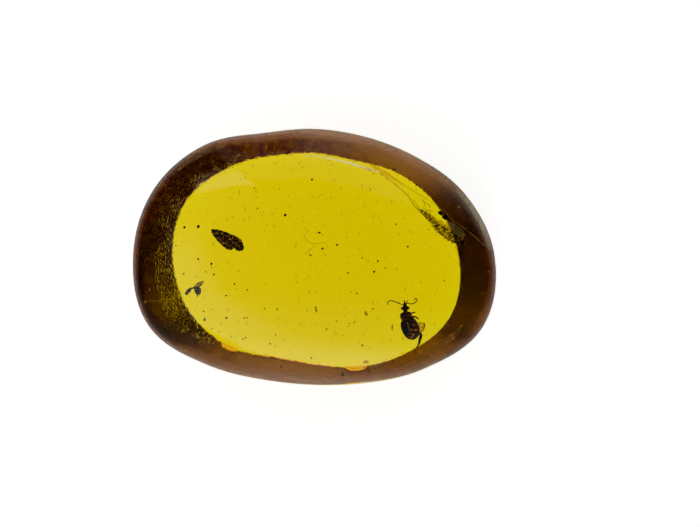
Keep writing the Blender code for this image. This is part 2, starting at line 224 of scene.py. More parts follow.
HIND_WING_STUMP = ((1.12, -1.02, -0.14, 0.05), (1.22, -1.06, -0.14, 0.05), (1.30, -1.00, -0.14, 0.03))

# The bud scale: stations along it from its tip, each with its lower and upper edge.
SCALE_STATIONS = (
    (-1.57, 0.0, 0.12), (-1.40, -0.14, 0.25), (-1.10, -0.29, 0.36), (-0.80, -0.42, 0.45),
    (-0.45, -0.51, 0.53), (-0.05, -0.59, 0.58), (0.35, -0.64, 0.64), (0.68, -0.54, 0.67),
    (0.82, -0.22, 0.65), (0.96, -0.31, 0.60), (1.14, -0.32, 0.50), (1.36, -0.24, 0.30),
    (1.50, -0.08, 0.12),
)
SCALE_THICKNESS = 0.40
SCALE_EDGE = 0.08
SCALE_RIBS = 4
SCALE_RIDGE = 0.03
SCALE_RAGGED, SCALE_TEARS = 0.07, 8  # how deep the edge is torn, and how many tears fall on a millimetre
SCALE_WRINKLE, SCALE_WRINKLES = 0.05, (4, 3)  # how deep, and how close along it and across
SCALE_BASE_FROM = 0.5  # where the cross ridges of its base begin
SCALE_BASE_RIDGE, SCALE_BASE_RIDGES = 0.02, 40  # how high they are, and how close

# The plant scrap, from its middle: a pod, a knot, a leaf tip and the fibres between them.
POD = {"at": (-0.46, -0.18, 0.0), "half": (0.15, 0.33, 0.14), "turn": -40, "roll": 0}
KNOT = {"at": (0.33, -0.10, 0.02), "half": (0.27, 0.28, 0.18), "turn": 10, "roll": 0}
LEAF_TIP = {"at": (0.34, 0.30, 0.05), "half": (0.19, 0.47, 0.07), "turn": -52, "roll": 15}
FIBRES = (
    ((-0.36, -0.02, 0.0, 0.08), (-0.12, 0.10, 0.02, 0.05), (0.10, 0.12, 0.03, 0.06), (0.30, 0.0, 0.03, 0.09)),
    ((0.30, -0.20, 0.0, 0.10), (0.28, -0.42, -0.02, 0.06), (0.27, -0.62, -0.04, 0.03)),
    ((0.34, -0.24, 0.0, 0.08), (0.43, -0.42, 0.02, 0.05), (0.46, -0.51, 0.03, 0.03)),
)

# Larger grains sealed in the resin: x, y and radius. The rest of the dust is scattered by chance.
GRAINS = (
    (-2.41, 3.42, 0.13), (-10.63, 2.41, 0.13), (-9.52, 2.48, 0.13), (-7.23, -4.96, 0.11),
    (-7.25, -3.16, 0.10), (-8.25, -1.43, 0.09), (-0.21, 6.25, 0.09), (0.41, 2.0, 0.10),
    (0.64, 0.68, 0.10), (1.87, 0.99, 0.09), (-0.29, 0.12, 0.08), (-0.14, 4.86, 0.05),
    (1.36, 4.81, 0.05), (-4.92, 5.57, 0.06), (-4.66, 3.96, 0.07), (4.91, -1.22, 0.09),
    (5.2, -0.35, 0.08), (5.81, -0.93, 0.07), (3.94, -0.08, 0.08), (6.7, 2.66, 0.09),
    (7.65, 0.83, 0.09), (4.6, 5.49, 0.06), (2.76, -1.28, 0.06), (3.48, -2.97, 0.07),
    (-8.45, -0.56, 0.09), (-8.9, -1.22, 0.08), (-9.52, -0.18, 0.08), (-10.7, -1.38, 0.08),
    (-11.3, 0.93, 0.06), (-6.56, -2.2, 0.08), (-5.49, -2.66, 0.07), (-9.09, -4.43, 0.06),
    (-8.98, -5.09, 0.07), (-8.39, -5.75, 0.07), (-7.79, -6.04, 0.06), (-4.1, -4.2, 0.07),
    (-3.05, -4.24, 0.07), (-5.77, -4.95, 0.07), (-5.53, -4.95, 0.06), (-5.85, -6.6, 0.07),
    (-5.64, -6.51, 0.06), (-3.63, -7.03, 0.09), (-3.19, -6.33, 0.06), (0.99, -5.85, 0.07),
    (2.88, -5.4, 0.07), (3.32, -5.3, 0.06), (1.83, -5.24, 0.06), (4.81, -4.2, 0.07),
    (3.94, -7.15, 0.09), (-0.25, -8.12, 0.09), (10.62, -1.94, 0.07),
)
GRAIN_DEPTHS = (1.2, 2.6)  # below the top
GRAIN_STRETCH = ((0.8, 1.4), (0.7, 1.0), (0.7, 1.0))  # least and most, along each of its axes
FINE_GRAINS = 800
FINE_GRAIN_RADIUS = 0.036  # of the coarsest
FINE_GRAIN_SIZES, FINE_GRAIN_POWER = (0.3, 1.0), 1.5  # shares of it, and a power that favours small ones
FINE_GRAINS_REACH = 0.86  # share of the way out to the outline
FINE_GRAINS_FROM, FINE_GRAINS_COVER = 1.6, 0.6  # lowest height, and least depth below the top
FAINT_FLECKS = 170
FLECKS_REACH = 0.74
FLECK_HEIGHTS = (1.5, 3.0)
FLECK_WIDTHS = (0.04, 0.09)
FLECK_STRETCH = (1.2, 2.6)
FLECK_TURNS = (-8, 15)  # degrees: their middle and spread
# Dark and pale grains that lie just under the surface near the rim.
RIM_GRAINS = (
    (-2.72, -9.05, 0.10), (-3.19, -8.37, 0.08), (8.41, 5.93, 0.10), (6.56, 7.23, 0.10),
    (2.78, 9.09, 0.10), (2.33, -9.67, 0.16), (-14.16, 0.37, 0.16), (12.74, -4.72, 0.10),
    (12.66, 2.29, 0.2), (12.94, 2.38, 0.14), (-13.5, 3.9, 0.07), (-12.9, -6.1, 0.06),
)
PALE_GRAINS = (
    (-13.61, -2.7, 0.10), (-13.97, -3.69, 0.10), (-10.66, -7.71, 0.12), (10.87, 6.27, 0.07),
    (11.93, 4.11, 0.07), (-12.2, -4.6, 0.05), (13.9, -3.0, 0.05), (14.4, -1.2, 0.05),
)
RIM_GRAIN_COVER, PALE_GRAIN_COVER = 0.05, 0.02  # resin over them
SMUDGES = (
    {"at": (0.14, -4.26, 2.6), "half": (0.09, 0.22, 0.10), "turn": 10, "roll": 0},
    {"at": (4.23, -4.57, 2.6), "half": (0.12, 0.18, 0.10), "turn": 25, "roll": 0},
    {"at": (6.37, -5.66, 2.6), "half": (0.07, 0.22, 0.08), "turn": -8, "roll": 0},
    {"at": (-9.0, -5.0, 2.6), "half": (0.07, 0.15, 0.08), "turn": -15, "roll": 0},
)
BUBBLE = {"at": (4.22, -8.42, 2.6), "half": (0.24, 0.14, 0.12), "turn": 0, "roll": 0}

# Hairs, lines and films in the resin, as chains of x, y, depth below the top and half width.
HAIRS = (
    ((-0.90, 2.0, 1.5, 0.012), (-0.73, 1.53, 1.5, 0.016), (-0.37, 1.17, 1.6, 0.016),
     (0.21, 1.11, 1.6, 0.014), (0.81, 1.17, 1.7, 0.016), (1.17, 0.70, 1.7, 0.012)),
    ((0.10, 1.05, 1.6, 0.012), (-0.37, 0.58, 1.6, 0.016), (-0.90, 0.22, 1.5, 0.012)),
    ((8.75, 4.75, 1.0, 0.02), (9.0, 4.45, 1.0, 0.03), (9.1, 4.1, 1.0, 0.02)),
    ((9.05, 4.45, 1.0, 0.02), (9.4, 4.25, 1.0, 0.035), (9.5, 3.95, 1.0, 0.02)),
    ((8.9, 4.05, 1.0, 0.02), (9.3, 3.8, 1.0, 0.035), (9.75, 3.75, 1.0, 0.02)),
    ((9.2, 5.2, 1.0, 0.015), (9.9, 4.6, 1.0, 0.02), (10.6, 4.1, 1.0, 0.015)),
)
SEAM_LINE = (
    (4.65, 7.48, 0.4, 0.012), (5.35, 6.92, 0.5, 0.02), (6.26, 6.27, 0.5, 0.022), (7.16, 5.52, 0.6, 0.022),
    (7.76, 4.91, 0.7, 0.025), (8.16, 4.26, 0.8, 0.03), (8.67, 3.71, 0.9, 0.04), (9.27, 3.11, 1.0, 0.05),
)
SEAM_BRANCH = (
    (8.0, 4.75, 0.8, 0.015), (8.35, 4.40, 0.8, 0.02), (8.60, 3.95, 0.9, 0.025), (9.05, 3.50, 1.0, 0.03),
)
SEAM_BAND = (
    (8.75, 3.85, 1.0, 0.05), (9.25, 3.35, 1.1, 0.16), (9.75, 2.75, 1.2, 0.28), (10.35, 2.25, 1.2, 0.38),
    (11.0, 1.85, 1.2, 0.42), (11.6, 1.45, 1.2, 0.36), (12.2, 1.0, 1.2, 0.15),
)
BROWN_VEIL = (
    (9.05, 3.75, 0.8, 0.08), (9.75, 3.0, 0.8, 0.30), (10.35, 2.45, 0.8, 0.45), (11.0, 2.0, 0.8, 0.52),
    (11.6, 1.6, 0.8, 0.45), (12.2, 1.1, 0.8, 0.15),
)
GOLDEN_LINES = (
    ((1.78, 9.84, 0.25, 0.02), (2.79, 9.08, 0.25, 0.03), (3.94, 8.33, 0.3, 0.03), (4.65, 7.48, 0.4, 0.02)),
    ((3.26, 8.78, 0.3, 0.015), (4.6, 7.62, 0.4, 0.02), (5.84, 6.92, 0.4, 0.02), (7.09, 6.13, 0.4, 0.02),
     (7.96, 5.52, 0.5, 0.02), (9.41, 4.64, 0.5, 0.02), (10.77, 3.71, 0.5, 0.02), (11.17, 3.21, 0.4, 0.03),
     (12.72, 2.07, 0.3, 0.035), (14.09, 0.9, 0.2, 0.03)),
    ((-13.97, -3.69, 0.15, 0.02), (-13.0, -3.62, 0.2, 0.03), (-12.0, -3.66, 0.25, 0.015)),
)
GOLD_VEIL = (
    (3.6, 8.60, 0.6, 0.04), (4.5, 7.85, 0.7, 0.14), (5.5, 7.05, 0.8, 0.20), (6.5, 6.35, 0.9, 0.12),
    (7.4, 5.70, 1.0, 0.03),
)
GREY_VEIL = (
    (10.9, 2.85, 0.3, 0.10), (11.4, 2.45, 0.3, 0.38), (11.9, 2.05, 0.3, 0.38), (12.4, 1.7, 0.3, 0.12),
)
# Brown streaks and a patch, lighter films in the rim.
RIM_STREAKS = (
    ((4.3, -9.75, 0.25, 0.04), (5.8, -9.45, 0.25, 0.14), (7.3, -8.95, 0.25, 0.12), (9.0, -8.35, 0.25, 0.16),
     (10.4, -7.75, 0.25, 0.12), (11.8, -6.95, 0.25, 0.05)),
    ((8.4, -8.05, 0.3, 0.08), (9.4, -7.65, 0.3, 0.25), (10.5, -7.15, 0.3, 0.32), (11.5, -6.45, 0.3, 0.25),
     (12.2, -5.6, 0.3, 0.08)),
    ((-11.3, 7.1, 0.2, 0.06), (-10.3, 8.0, 0.2, 0.28), (-9.0, 8.75, 0.2, 0.30), (-7.4, 9.35, 0.2, 0.22),
     (-5.8, 9.75, 0.2, 0.06)),
    ((2.0, -9.9, 0.2, 0.04), (-0.5, -10.05, 0.2, 0.10), (-3.4, -9.75, 0.2, 0.12), (-6.2, -8.95, 0.2, 0.05)),
)
CRACK = (
    (-0.87, 8.37, 0.12, 0.02), (0.46, 8.24, 0.19, 0.05), (2.11, 7.91, 0.283, 0.08), (3.44, 7.54, 0.367, 0.13),
    (4.19, 7.31, 0.405, 0.14), (4.8, 7.1, 0.421, 0.10), (5.32, 6.99, 0.421, 0.03),
)
CRACK_TILT = math.radians(7.7)  # it leans to where it mirrors the brightest panel
CRACK_GRAIN = 0.15
# Crusts under the shoulder, the first cream and the others an orange-brown painted sheen: first and last
# angle, how far inside the outline they start and end, strength.
CRUSTS_AND_SHEENS = ((2, 26, 0.05, 0.55, 1.0), (34, 128, 0.03, 0.95, 0.8), (212, 324, 0.03, 1.05, 0.8))
CRUST_DEPTH, CRUST_THICKNESS = 0.03, 0.015
CRUST_FADE_OUTSIDE, CRUST_FADE_INSIDE = 8, 3.3  # how fast they fade at their outer and inner edge
CRUST_STREAK = (2.5, 0.3)  # length and width of their streaks
CHIP_OF_BARK = (
    {"at": (10.38, 3.57, 4.3), "half": (0.22, 0.15, 0.10), "turn": -38, "roll": 0},
    {"at": (10.74, 3.24, 4.3), "half": (0.26, 0.18, 0.12), "turn": -33, "roll": 0},
)
# Pale crumbs at the end of the seam, crumbs in its band, and grit along the flat face's edge.
CRUMBS_AT, CRUMBS = (11.95, 1.50), 16
CRUMB_SPREAD, CRUMB_RADIUS, CRUMB_DEPTHS = 0.2, 0.045, (0.5, 1.0)
BAND_CRUMBS = 220
BAND_CRUMB_SPREAD = 0.9  # share of half the band's width
BAND_CRUMB_DROP = 0.1
BAND_CRUMB_RADII = (0.02, 0.06)
EDGE_GRAINS = 420
EDGE_GRAINS_OUT = (-0.02, 0.09)  # outwards from the edge: their middle and spread
EDGE_GRAIN_HEIGHTS = (0.06, 0.3)
EDGE_GRAIN_RADII = (0.015, 0.045)
# Painted glints: orange filter films over the nicks of the flat face, which colour the light that the nicks
# let through.
GLINT_FILM_HEIGHT, GLINT_FILM_STEPS = 0.12, 16
GLINT_FILM_PAST, GLINT_FILM_MARGIN = 0.1, 0.02  # how far they pass a nick: share of its reach, and what is added

SPOT_FLATNESS = 0.12  # how little the spots of a thin tissue change with its height

COLOURS = {
    "chitin": "#1c0d05",
    "chitin_red": "#a85018",
    "chitin_gold": "#e0a030",
    "chitin_amber": "#d88c3c",
    "wing": "#e8dca0",
    "chitin_pale": "#d8b890",
    "eye": "#060302",
    "scale_dark": "#281404",
    "scale_light": "#c89860",
    "fibre_dark": "#201a04",
    "fibre_light": "#b89c50",
    "dust": "#140a02",
    # skin: the brown of the painted shade filter that darkens the rim
    "skin": "#bc9456",
    "seam": "#302006",
    "gold": "#e8b840",
    "brown_veil": "#c8ac58",
    "veil": "#f4d488",
    "grey_veil": "#c09c78",
    # streak: the orange of the rim streaks, and of the painted sheen under the shoulder
    "streak": "#ffb878",
    "crack": "#fff8e0",
    # stain: the orange of the painted glints over the nicks, given by clear filter films
    "stain": "#ffc070",
    "cream": "#d8caa0",
    "bubble": "#d8c450",
    "smudge": "#7a6a10",
    "floor": "#f4f4f2",
}

# The light tent: soft panels, by the direction that light comes from. A panel has a strength and
# ramps of (compass angle, from, to). Each ramp takes the horizontal part of the direction along its
# angle, and lets light in as that goes from one value to the other. Where a crescent of light shows on
# the stone's shoulder, the first ramps cut its inner edge out of the panels after them.
CRESCENT_EDGES = (
    (17, -0.46, -0.44), (36, -0.50, -0.48), (58, -0.605, -0.585), (90, -0.70, -0.68), (135, -0.585, -0.565),
)
CRESCENT_PANELS = (
    (0.60, ((210, 0.20, 0.33), (90, 0.18, 0.0), (270, 0.52, 0.34))),
    (1.10, ((255, 0.39, 0.60),)),
    (0.28, ((235, -0.10, 0.47), (90, 0.07, -0.23))),
)
SKY_PANELS = (
    (0.13, ((180, -0.10, 0.45), (0, -0.58, -0.42), (90, 0.32, 0.30), (90, -0.10, -0.03))),
    (1.00, ((97, 0.346, 0.39), (0, -0.425, -0.36), (31, 0.105, 0.06), (113, 0.60, 0.47))),
    (0.18, ((76, 0.37, 0.395), (31, 0.06, 0.105), (0, 0.316, 0.25), (75, 0.65, 0.60))),
    (0.92, ((52, 0.56, 0.86), (0, -0.142, -0.09))),
    (0.51, ((90, 0.50, 0.70), (0, -0.12, -0.014), (0, 0.276, 0.06))),
    (0.18, ((110, 0.668, 0.82), (0, -0.034, -0.057))),
    (0.32, ((250, 0.40, 0.90), (0, 0.08, -0.10))),
    (1.06, ((270, 0.55, 0.90), (0, -0.50, -0.01), (0, 0.45, -0.10))),
    (0.29, ((315, 0.55, 0.85),)),
    (0.27, ((110, -0.30, -0.41), (180, 0.55, 0.93))),
)
HORIZON_GLOW = 0.4
HORIZON_HEIGHT = 0.5  # of the direction at which the glow ends
GLOW_FALL, GLOW_REACH = 0.04, 14  # how much brighter the floor glows at this distance on the left
FLOOR_RADIUS = 2.0  # metres
FLOOR_GAP = 0.1  # between the floor and the stone
VIEW_WIDTH = 58.01  # what the camera sees at the girdle's height
CAMERA_AT = (2.94, -0.54)
CLIP_START = 0.01  # metres
SENSOR_WIDTH = 36


def linear(name):
    """A named sRGB hex colour as linear red, green and blue."""
    code = COLOURS[name]
    parts = [int(code[i : i + 2], 16) / 255 for i in (1, 3, 5)]
    return tuple(c / 12.92 if c <= 0.04045 else ((c + 0.055) / 1.055) ** 2.4 for c in parts)


class AmberSettings(bpy.types.PropertyGroup):
    """The stone's optical values."""

    ior: bpy.props.FloatProperty(name="IOR", description="Refractive index of amber", default=1.54)
    absorption_density: bpy.props.FloatProperty(
        name="Absorption density", description="Per metre of resin", default=1300.0
    )
    absorption_colour: bpy.props.FloatVectorProperty(
        name="Absorption colour",
        description="Share of each colour that the resin lets through, in linear light",
        subtype="COLOR",
        default=(0.959, 0.929, 0.04),
    )
    polish: bpy.props.FloatProperty(
        name="Polished roughness", description="Roughness of the polished top", default=0.015
    )
    ground: bpy.props.FloatProperty(
        name="Ground roughness", description="Roughness of the ground lower side", default=0.16
    )


class InclusionSettings(bpy.types.PropertyGroup):
    """Colours and counts of what is sealed in the stone."""

    chitin: bpy.props.FloatVectorProperty(
        name="Chitin", description="The beetle's shell", subtype="COLOR", default=linear("chitin")
    )
    scale: bpy.props.FloatVectorProperty(
        name="Bud scale",
        description="The bud scale's dark tissue",
        subtype="COLOR",
        default=linear("scale_dark"),
    )
    fine_grains: bpy.props.IntProperty(
        name="Fine grains", description="How many specks of fine dust there are", default=FINE_GRAINS
    )
    dust_seed: bpy.props.IntProperty(name="Dust seed", description="Places the fine dust", default=7)


class StageSettings(bpy.types.PropertyGroup):
    """The floor, the light and the camera."""

    glow: bpy.props.FloatProperty(name="Floor glow", description="Light from the pale floor", default=0.825)
    sky: bpy.props.FloatProperty(name="Tent light", description="Strength of the light tent", default=1.0)
    camera_height: bpy.props.FloatProperty(
        name="Camera height", description="Height over the floor", unit="LENGTH", default=0.35
    )


def node(tree, kind, inputs=None, **settings):
    """Adds a node with its settings. An input is a value, or a socket to link from."""
    made = tree.nodes.new(kind)
    for name, value in settings.items():
        setattr(made, name, value)
    for name, value in (inputs or {}).items():
        if isinstance(value, bpy.types.NodeSocket):
            tree.links.new(value, made.inputs[name])
        else:
            made.inputs[name].default_value = value
    return made


def new_material(name):
    """An empty node material and its tree."""
    made = bpy.data.materials.new(name)
    made.use_nodes = True
    made.node_tree.nodes.clear()
    return made, made.node_tree


@functools.lru_cache(maxsize=None)
def around(values, angle):
    """Reads a smooth closed curve through evenly spaced values (Catmull-Rom) at an angle."""
    count = len(values)
    place = (angle / math.tau * count) % count
    index = int(place)
    t = place - index
    before, here, after, beyond = (values[(index + k) % count] for k in (-1, 0, 1, 2))
    slope_here, slope_after = (after - before) / 2, (beyond - here) / 2
    bend = 2 * (here - after) + slope_here + slope_after
    return here + t * (slope_here + t * (3 * (after - here) - 2 * slope_here - slope_after + t * bend))


def clamp(value):
    return max(0.0, min(1.0, value))


def outline_centre():
    """The middle of the outline's box, which is the frame's origin."""
    points = []
    for step in range(64):
        angle = math.tau * step / 64
        radius = around(OUTLINE_RADII, angle)
        points.append((radius * math.cos(angle), radius * math.sin(angle)))
    return [(min(axis) + max(axis)) / 2 for axis in zip(*points)]


MIDDLE_X, MIDDLE_Y = outline_centre()


def dome_height(share):
    """Height of the polished top at a share of the way out to the outline."""
    return STONE_HEIGHT - DOME_RISE * share**DOME_POWER


def shoulder_width(angle):
    return SHOULDER_LONG_SIDES + (SHOULDER_LONG_ENDS - SHOULDER_LONG_SIDES) * math.cos(angle) ** 2


def shoulder(turn, radius, width):
    """A point of the rounded shoulder, from the girdle at 0 to the dome at 90 degrees."""
    out = radius - width * (1 - math.cos(turn))
    swell = dome_height(out / radius) - dome_height(1)
    return out, GIRDLE_HEIGHT + (dome_height(1) - GIRDLE_HEIGHT) * math.sin(turn) + swell


def top_over(x, y):
    """Height of the stone's top over a place in the frame."""
    out_x, out_y = x + MIDDLE_X, y + MIDDLE_Y
    angle = math.atan2(out_y, out_x)
    radius, width = around(OUTLINE_RADII, angle), shoulder_width(angle)
    out = min(math.hypot(out_x, out_y), radius)
    if out > radius - width:
        return shoulder(math.acos(1 - (radius - out) / width), radius, width)[1]
    return dome_height(out / radius)


@functools.lru_cache(maxsize=None)
def face_inset(angle):
    """How far the flat face's edge lies inside the outline, with the nicks that carry it outwards."""
    inset = around(FACE_INSETS, angle)
    for middle, spread, reach in NICKS:
        off = (math.degrees(angle) - middle + 180) % 360 - 180
        if abs(off) < spread:
            inset -= reach * math.sqrt(math.cos(off / spread * math.pi / 2))
    return inset


def underside(t, angle):
    """A point of the lower side, from the flat face's edge at t = 0 to the girdle at t = 1."""
    radius, inset = around(OUTLINE_RADII, angle), face_inset(angle)
    corner = min(inset * math.tan(UNDERSIDE_SLOPE), STEEPEST_SHARE * GIRDLE_HEIGHT)
    return radius - inset * (1 - t) ** 2, 2 * t * (1 - t) * corner + t * t * GIRDLE_HEIGHT


def in_frame(out, angle, z):
    """A point given by its distance and angle from the outline's own middle."""
    return Vector((out * math.cos(angle) - MIDDLE_X, out * math.sin(angle) - MIDDLE_Y, z))


def stone_point(direction):
    """Where the stone's surface lies in a direction of the ball, how pitted it is there, and how far out."""
    angle = round(math.atan2(direction.y, direction.x), 5)
    level = math.asin(max(-1.0, min(1.0, direction.z))) / (math.pi / 2)
    radius, width = around(OUTLINE_RADII, angle), shoulder_width(angle)
    edge = radius - face_inset(angle)
    if level < -1 + FACE_SHARE:
        out, z = edge * (1 + level) / FACE_SHARE, 0.0
    elif level < 0:
        out, z = underside(1 + level / (1 - FACE_SHARE), angle)
    elif level < SHOULDER_SHARE:
        out, z = shoulder(level / SHOULDER_SHARE * math.pi / 2, radius, width)
    else:
        out = (radius - width) * (1 - level) / (1 - SHOULDER_SHARE)
        z = dome_height(out / radius)
    if level > 0:
        return in_frame(out, angle, z), 0.0, out
    grit = around(GRIT_AROUND, angle)
    near_edge = max(0.0, 1 - abs(out - edge) / CHIP_REACH)
    if near_edge:
        place = Vector((math.cos(angle), math.sin(angle), 0.0)) * edge / CHIP_SIZE
        out += CHIP_DEPTH * grit * near_edge * noise.fractal(place, *ROUGH)
    inside = max(0.0, 1 - max(0.0, edge - out) / PITTED_INSIDE)
    thin, ends = PITTED_OUTSIDE
    outside = clamp((ends + edge - out) / (ends - thin))
    return in_frame(out, angle, z), grit * inside * outside, out


def add_piece(bm, name, materials, sharp=40, replaces=()):
    """Ends a bmesh as a piece that rides with the stone."""
    bmesh.ops.recalc_face_normals(bm, faces=bm.faces)
    mesh = bpy.data.meshes.new(name)
    bm.to_mesh(mesh)
    bm.free()
    for material in materials:
        mesh.materials.append(material)
    mesh.shade_smooth()
    mesh.set_sharp_from_angle(angle=math.radians(sharp))
    piece = bpy.data.objects.new(name, mesh)
    bpy.context.scene.collection.objects.link(piece)
    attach(piece, "root")
    if replaces:
        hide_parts(*replaces)
    return piece


def polished_amber(settings):
    """Fossil resin, polished on felt, and left ground and pitted on its lower side.

    The polished faces are glass clear, so the eye sees the bright floor through the flat one. The
    ground side round it scatters the light, and is the dark rim.
    """
    made, tree = new_material("polished_amber")
    place = node(tree, "ShaderNodeTexCoord").outputs["Object"]
    height = node(tree, "ShaderNodeSeparateXYZ", {"Vector": place}).outputs["Z"]
    face, ground_from = (z * MM for z in GROUND_STARTS)
    above_face = node(
        tree, "ShaderNodeMapRange", {"Value": height, "From Min": face, "From Max": ground_from}
    ).outputs["Result"]
    ground_to, polished_from = (z * MM for z in GROUND_ENDS)
    below_girdle = node(
        tree,
        "ShaderNodeMapRange",
        {"Value": height, "From Min": ground_to, "From Max": polished_from, "To Min": 1.0, "To Max": 0.0},
    ).outputs["Result"]
    ground = node(
        tree, "ShaderNodeMath", {0: above_face, 1: below_girdle}, operation="MULTIPLY"
    ).outputs["Value"]
    rougher = node(
        tree, "ShaderNodeMapRange", {"Value": ground, "To Min": settings.polish, "To Max": settings.ground}
    ).outputs["Result"]
    grain = node(
        tree, "ShaderNodeTexNoise", {"Vector": place, "Scale": 1 / (GRIT_SIZE * MM), "Detail": 3.0}
    ).outputs["Fac"]
    grain_bump = node(
        tree, "ShaderNodeBump", {"Height": grain, "Strength": ground, "Distance": GRIT_DEPTH * MM}
    ).outputs["Normal"]
    # Grinding drew the pits out round the stone, so they follow its girth. They are drawn coarser than
    # they are, or they wouldn't show.
    along = node(tree, "ShaderNodeAttribute", attribute_name="girth").outputs["Vector"]
    spots = node(tree, "ShaderNodeTexNoise", {"Vector": along, "Scale": 1.0, "Detail": 2.0}).outputs["Fac"]
    pitting = node(tree, "ShaderNodeAttribute", attribute_name="pitting").outputs["Fac"]
    swarms = node(
        tree, "ShaderNodeTexNoise", {"Vector": place, "Scale": 1 / (PIT_SWARM_SIZE * MM), "Detail": 2.0}
    ).outputs["Fac"]
    crowded = node(
        tree, "ShaderNodeMapRange", {"Value": swarms, "From Min": 0.42, "From Max": 0.62, "To Min": 0.12}
    ).outputs["Result"]
    hollow = node(
        tree,
        "ShaderNodeMapRange",
        {"Value": spots, "From Min": 0.54, "From Max": 0.74},
        interpolation_type="SMOOTHSTEP",
    ).outputs["Result"]
    pitted = node(tree, "ShaderNodeMath", {0: pitting, 1: crowded}, operation="MULTIPLY").outputs["Value"]
    pit_bump = node(
        tree,
        "ShaderNodeBump",
        {"Height": hollow, "Strength": pitted, "Distance": -PIT_DEPTH * MM, "Normal": grain_bump},
    ).outputs["Normal"]
    shader = node(
        tree,
        "ShaderNodeBsdfPrincipled",
        {
            "Base Color": (1.0, 1.0, 1.0, 1.0),
            "Transmission Weight": 1.0,
            "IOR": settings.ior,
            "Roughness": rougher,
            "Normal": pit_bump,
        },
    )
    absorption = node(
        tree,
        "ShaderNodeVolumeAbsorption",
        {"Color": (*settings.absorption_colour, 1.0), "Density": settings.absorption_density},
    )
    node(
        tree,
        "ShaderNodeOutputMaterial",
        {"Surface": shader.outputs["BSDF"], "Volume": absorption.outputs["Volume"]},
    )
    return made


def mottled(
    name, dark, light, size, roughness, bump=0.0, between=(0.45, 0.72), alpha=None, clear=None, tint=None,
    streaked=False
):
    """A dull material in two linear colours, mottled at a size in mm, with a bump in mm.

    Between is where the noise turns from dark to light. Alpha is the cover in the dark and in the
    light spots, and clear is the share of light that shines through them, tinted. Tint names an
    attribute that brings out the light spots. Streaked draws the spots out along the rim.
    """
    made, tree = new_material(name)
    if streaked:
        place = node(tree, "ShaderNodeAttribute", attribute_name="girth").outputs["Vector"]
    else:
        place = node(tree, "ShaderNodeTexCoord").outputs["Object"]
    if clear:
        # Spots go right through a thin tissue, so they hardly change with its height.
        place = node(
            tree, "ShaderNodeVectorMath", {0: place, 1: (1.0, 1.0, SPOT_FLATNESS)}, operation="MULTIPLY"
        ).outputs["Vector"]
    scale = 1.0 if streaked else 1 / (size * MM)
    blotch = node(tree, "ShaderNodeTexNoise", {"Vector": place, "Scale": scale, "Detail": 4.0}).outputs["Fac"]
    amount = node(
        tree,
        "ShaderNodeMapRange",
        {"Value": blotch, "From Min": between[0], "From Max": between[1]},
        interpolation_type="SMOOTHSTEP",
    ).outputs["Result"]
    if tint:
        tinted = node(tree, "ShaderNodeAttribute", attribute_name=tint).outputs["Fac"]
        amount = node(tree, "ShaderNodeMath", {0: amount, 1: tinted}, operation="MULTIPLY").outputs["Value"]
    inputs = {"Base Color": (*dark, 1.0), "Roughness": roughness}
    if light != dark:
        inputs["Base Color"] = node(
            tree, "ShaderNodeMix", {"Factor": amount, "A": (*dark, 1.0), "B": (*light, 1.0)}, data_type="RGBA"
        ).outputs["Result"]
    for socket, share in (("Alpha", alpha), ("Transmission Weight", clear)):
        if share:
            inputs[socket] = node(
                tree, "ShaderNodeMapRange", {"Value": amount, "To Min": share[0], "To Max": share[1]}
            ).outputs["Result"]
    if clear:
        # The resin wets the tissue, so light doesn't bend where it enters.
        inputs["IOR"] = 1.0
    if bump:
        inputs["Normal"] = node(
            tree, "ShaderNodeBump", {"Height": blotch, "Strength": 1.0, "Distance": bump * MM}
        ).outputs["Normal"]
    shader = node(tree, "ShaderNodeBsdfPrincipled", inputs)
    node(tree, "ShaderNodeOutputMaterial", {"Surface": shader.outputs["BSDF"]})
    return made


def stained_resin(name, colour, size=0.3):
    """Resin that has taken a stain: it bends light no more than the resin round it, and tints it."""
    made, tree = new_material(name)
    place = node(tree, "ShaderNodeTexCoord").outputs["Object"]
    cloud = node(
        tree, "ShaderNodeTexNoise", {"Vector": place, "Scale": 1 / (size * MM), "Detail": 2.0}
    ).outputs["Fac"]
    thinner = tuple(math.sqrt(c) for c in colour)
    mixed = node(
        tree, "ShaderNodeMix", {"Factor": cloud, "A": (*colour, 1.0), "B": (*thinner, 1.0)}, data_type="RGBA"
    ).outputs["Result"]
    shader = node(
        tree,
        "ShaderNodeBsdfPrincipled",
        {"Base Color": mixed, "Transmission Weight": 1.0, "IOR": 1.0, "Roughness": 0.0},
    )
    node(tree, "ShaderNodeOutputMaterial", {"Surface": shader.outputs["BSDF"]})
    return made


def silvered_crack(name, colour):
    """A crack with air in it, which mirrors light inside the resin: a bright streak, broken by specks."""
    made, tree = new_material(name)
    place = node(tree, "ShaderNodeTexCoord").outputs["Object"]
    grain = node(
        tree, "ShaderNodeTexNoise", {"Vector": place, "Scale": 1 / (CRACK_GRAIN * MM), "Detail": 3.0}
    ).outputs["Fac"]
    cover = node(
        tree, "ShaderNodeMapRange", {"Value": grain, "From Min": 0.2, "From Max": 0.5, "To Max": 0.9}
    ).outputs["Result"]
    shader = node(
        tree,
        "ShaderNodeBsdfPrincipled",
        {"Base Color": (*colour, 1.0), "Metallic": 1.0, "Roughness": 0.08, "Alpha": cover},
    )
    node(tree, "ShaderNodeOutputMaterial", {"Surface": shader.outputs["BSDF"]})
    return made


def lumpy(depth, pace):
    """A shape function that makes a unit ball lumpy by a share of its radius."""

    def shape(co):
        return co * (1 + depth * noise.fractal(co * pace, *ROUGH))

    return shape


def placed(at, half, turn, roll):
    """A matrix that sizes a unit ball, rolls it about Y, turns it about Z and moves it, from mm."""
    return (
        Matrix.Translation(Vector(at) * MM)
        @ Matrix.Rotation(math.radians(turn), 4, "Z")
        @ Matrix.Rotation(math.radians(roll), 4, "Y")
        @ Matrix.Diagonal((*(Vector(half) * MM), 1))
    )


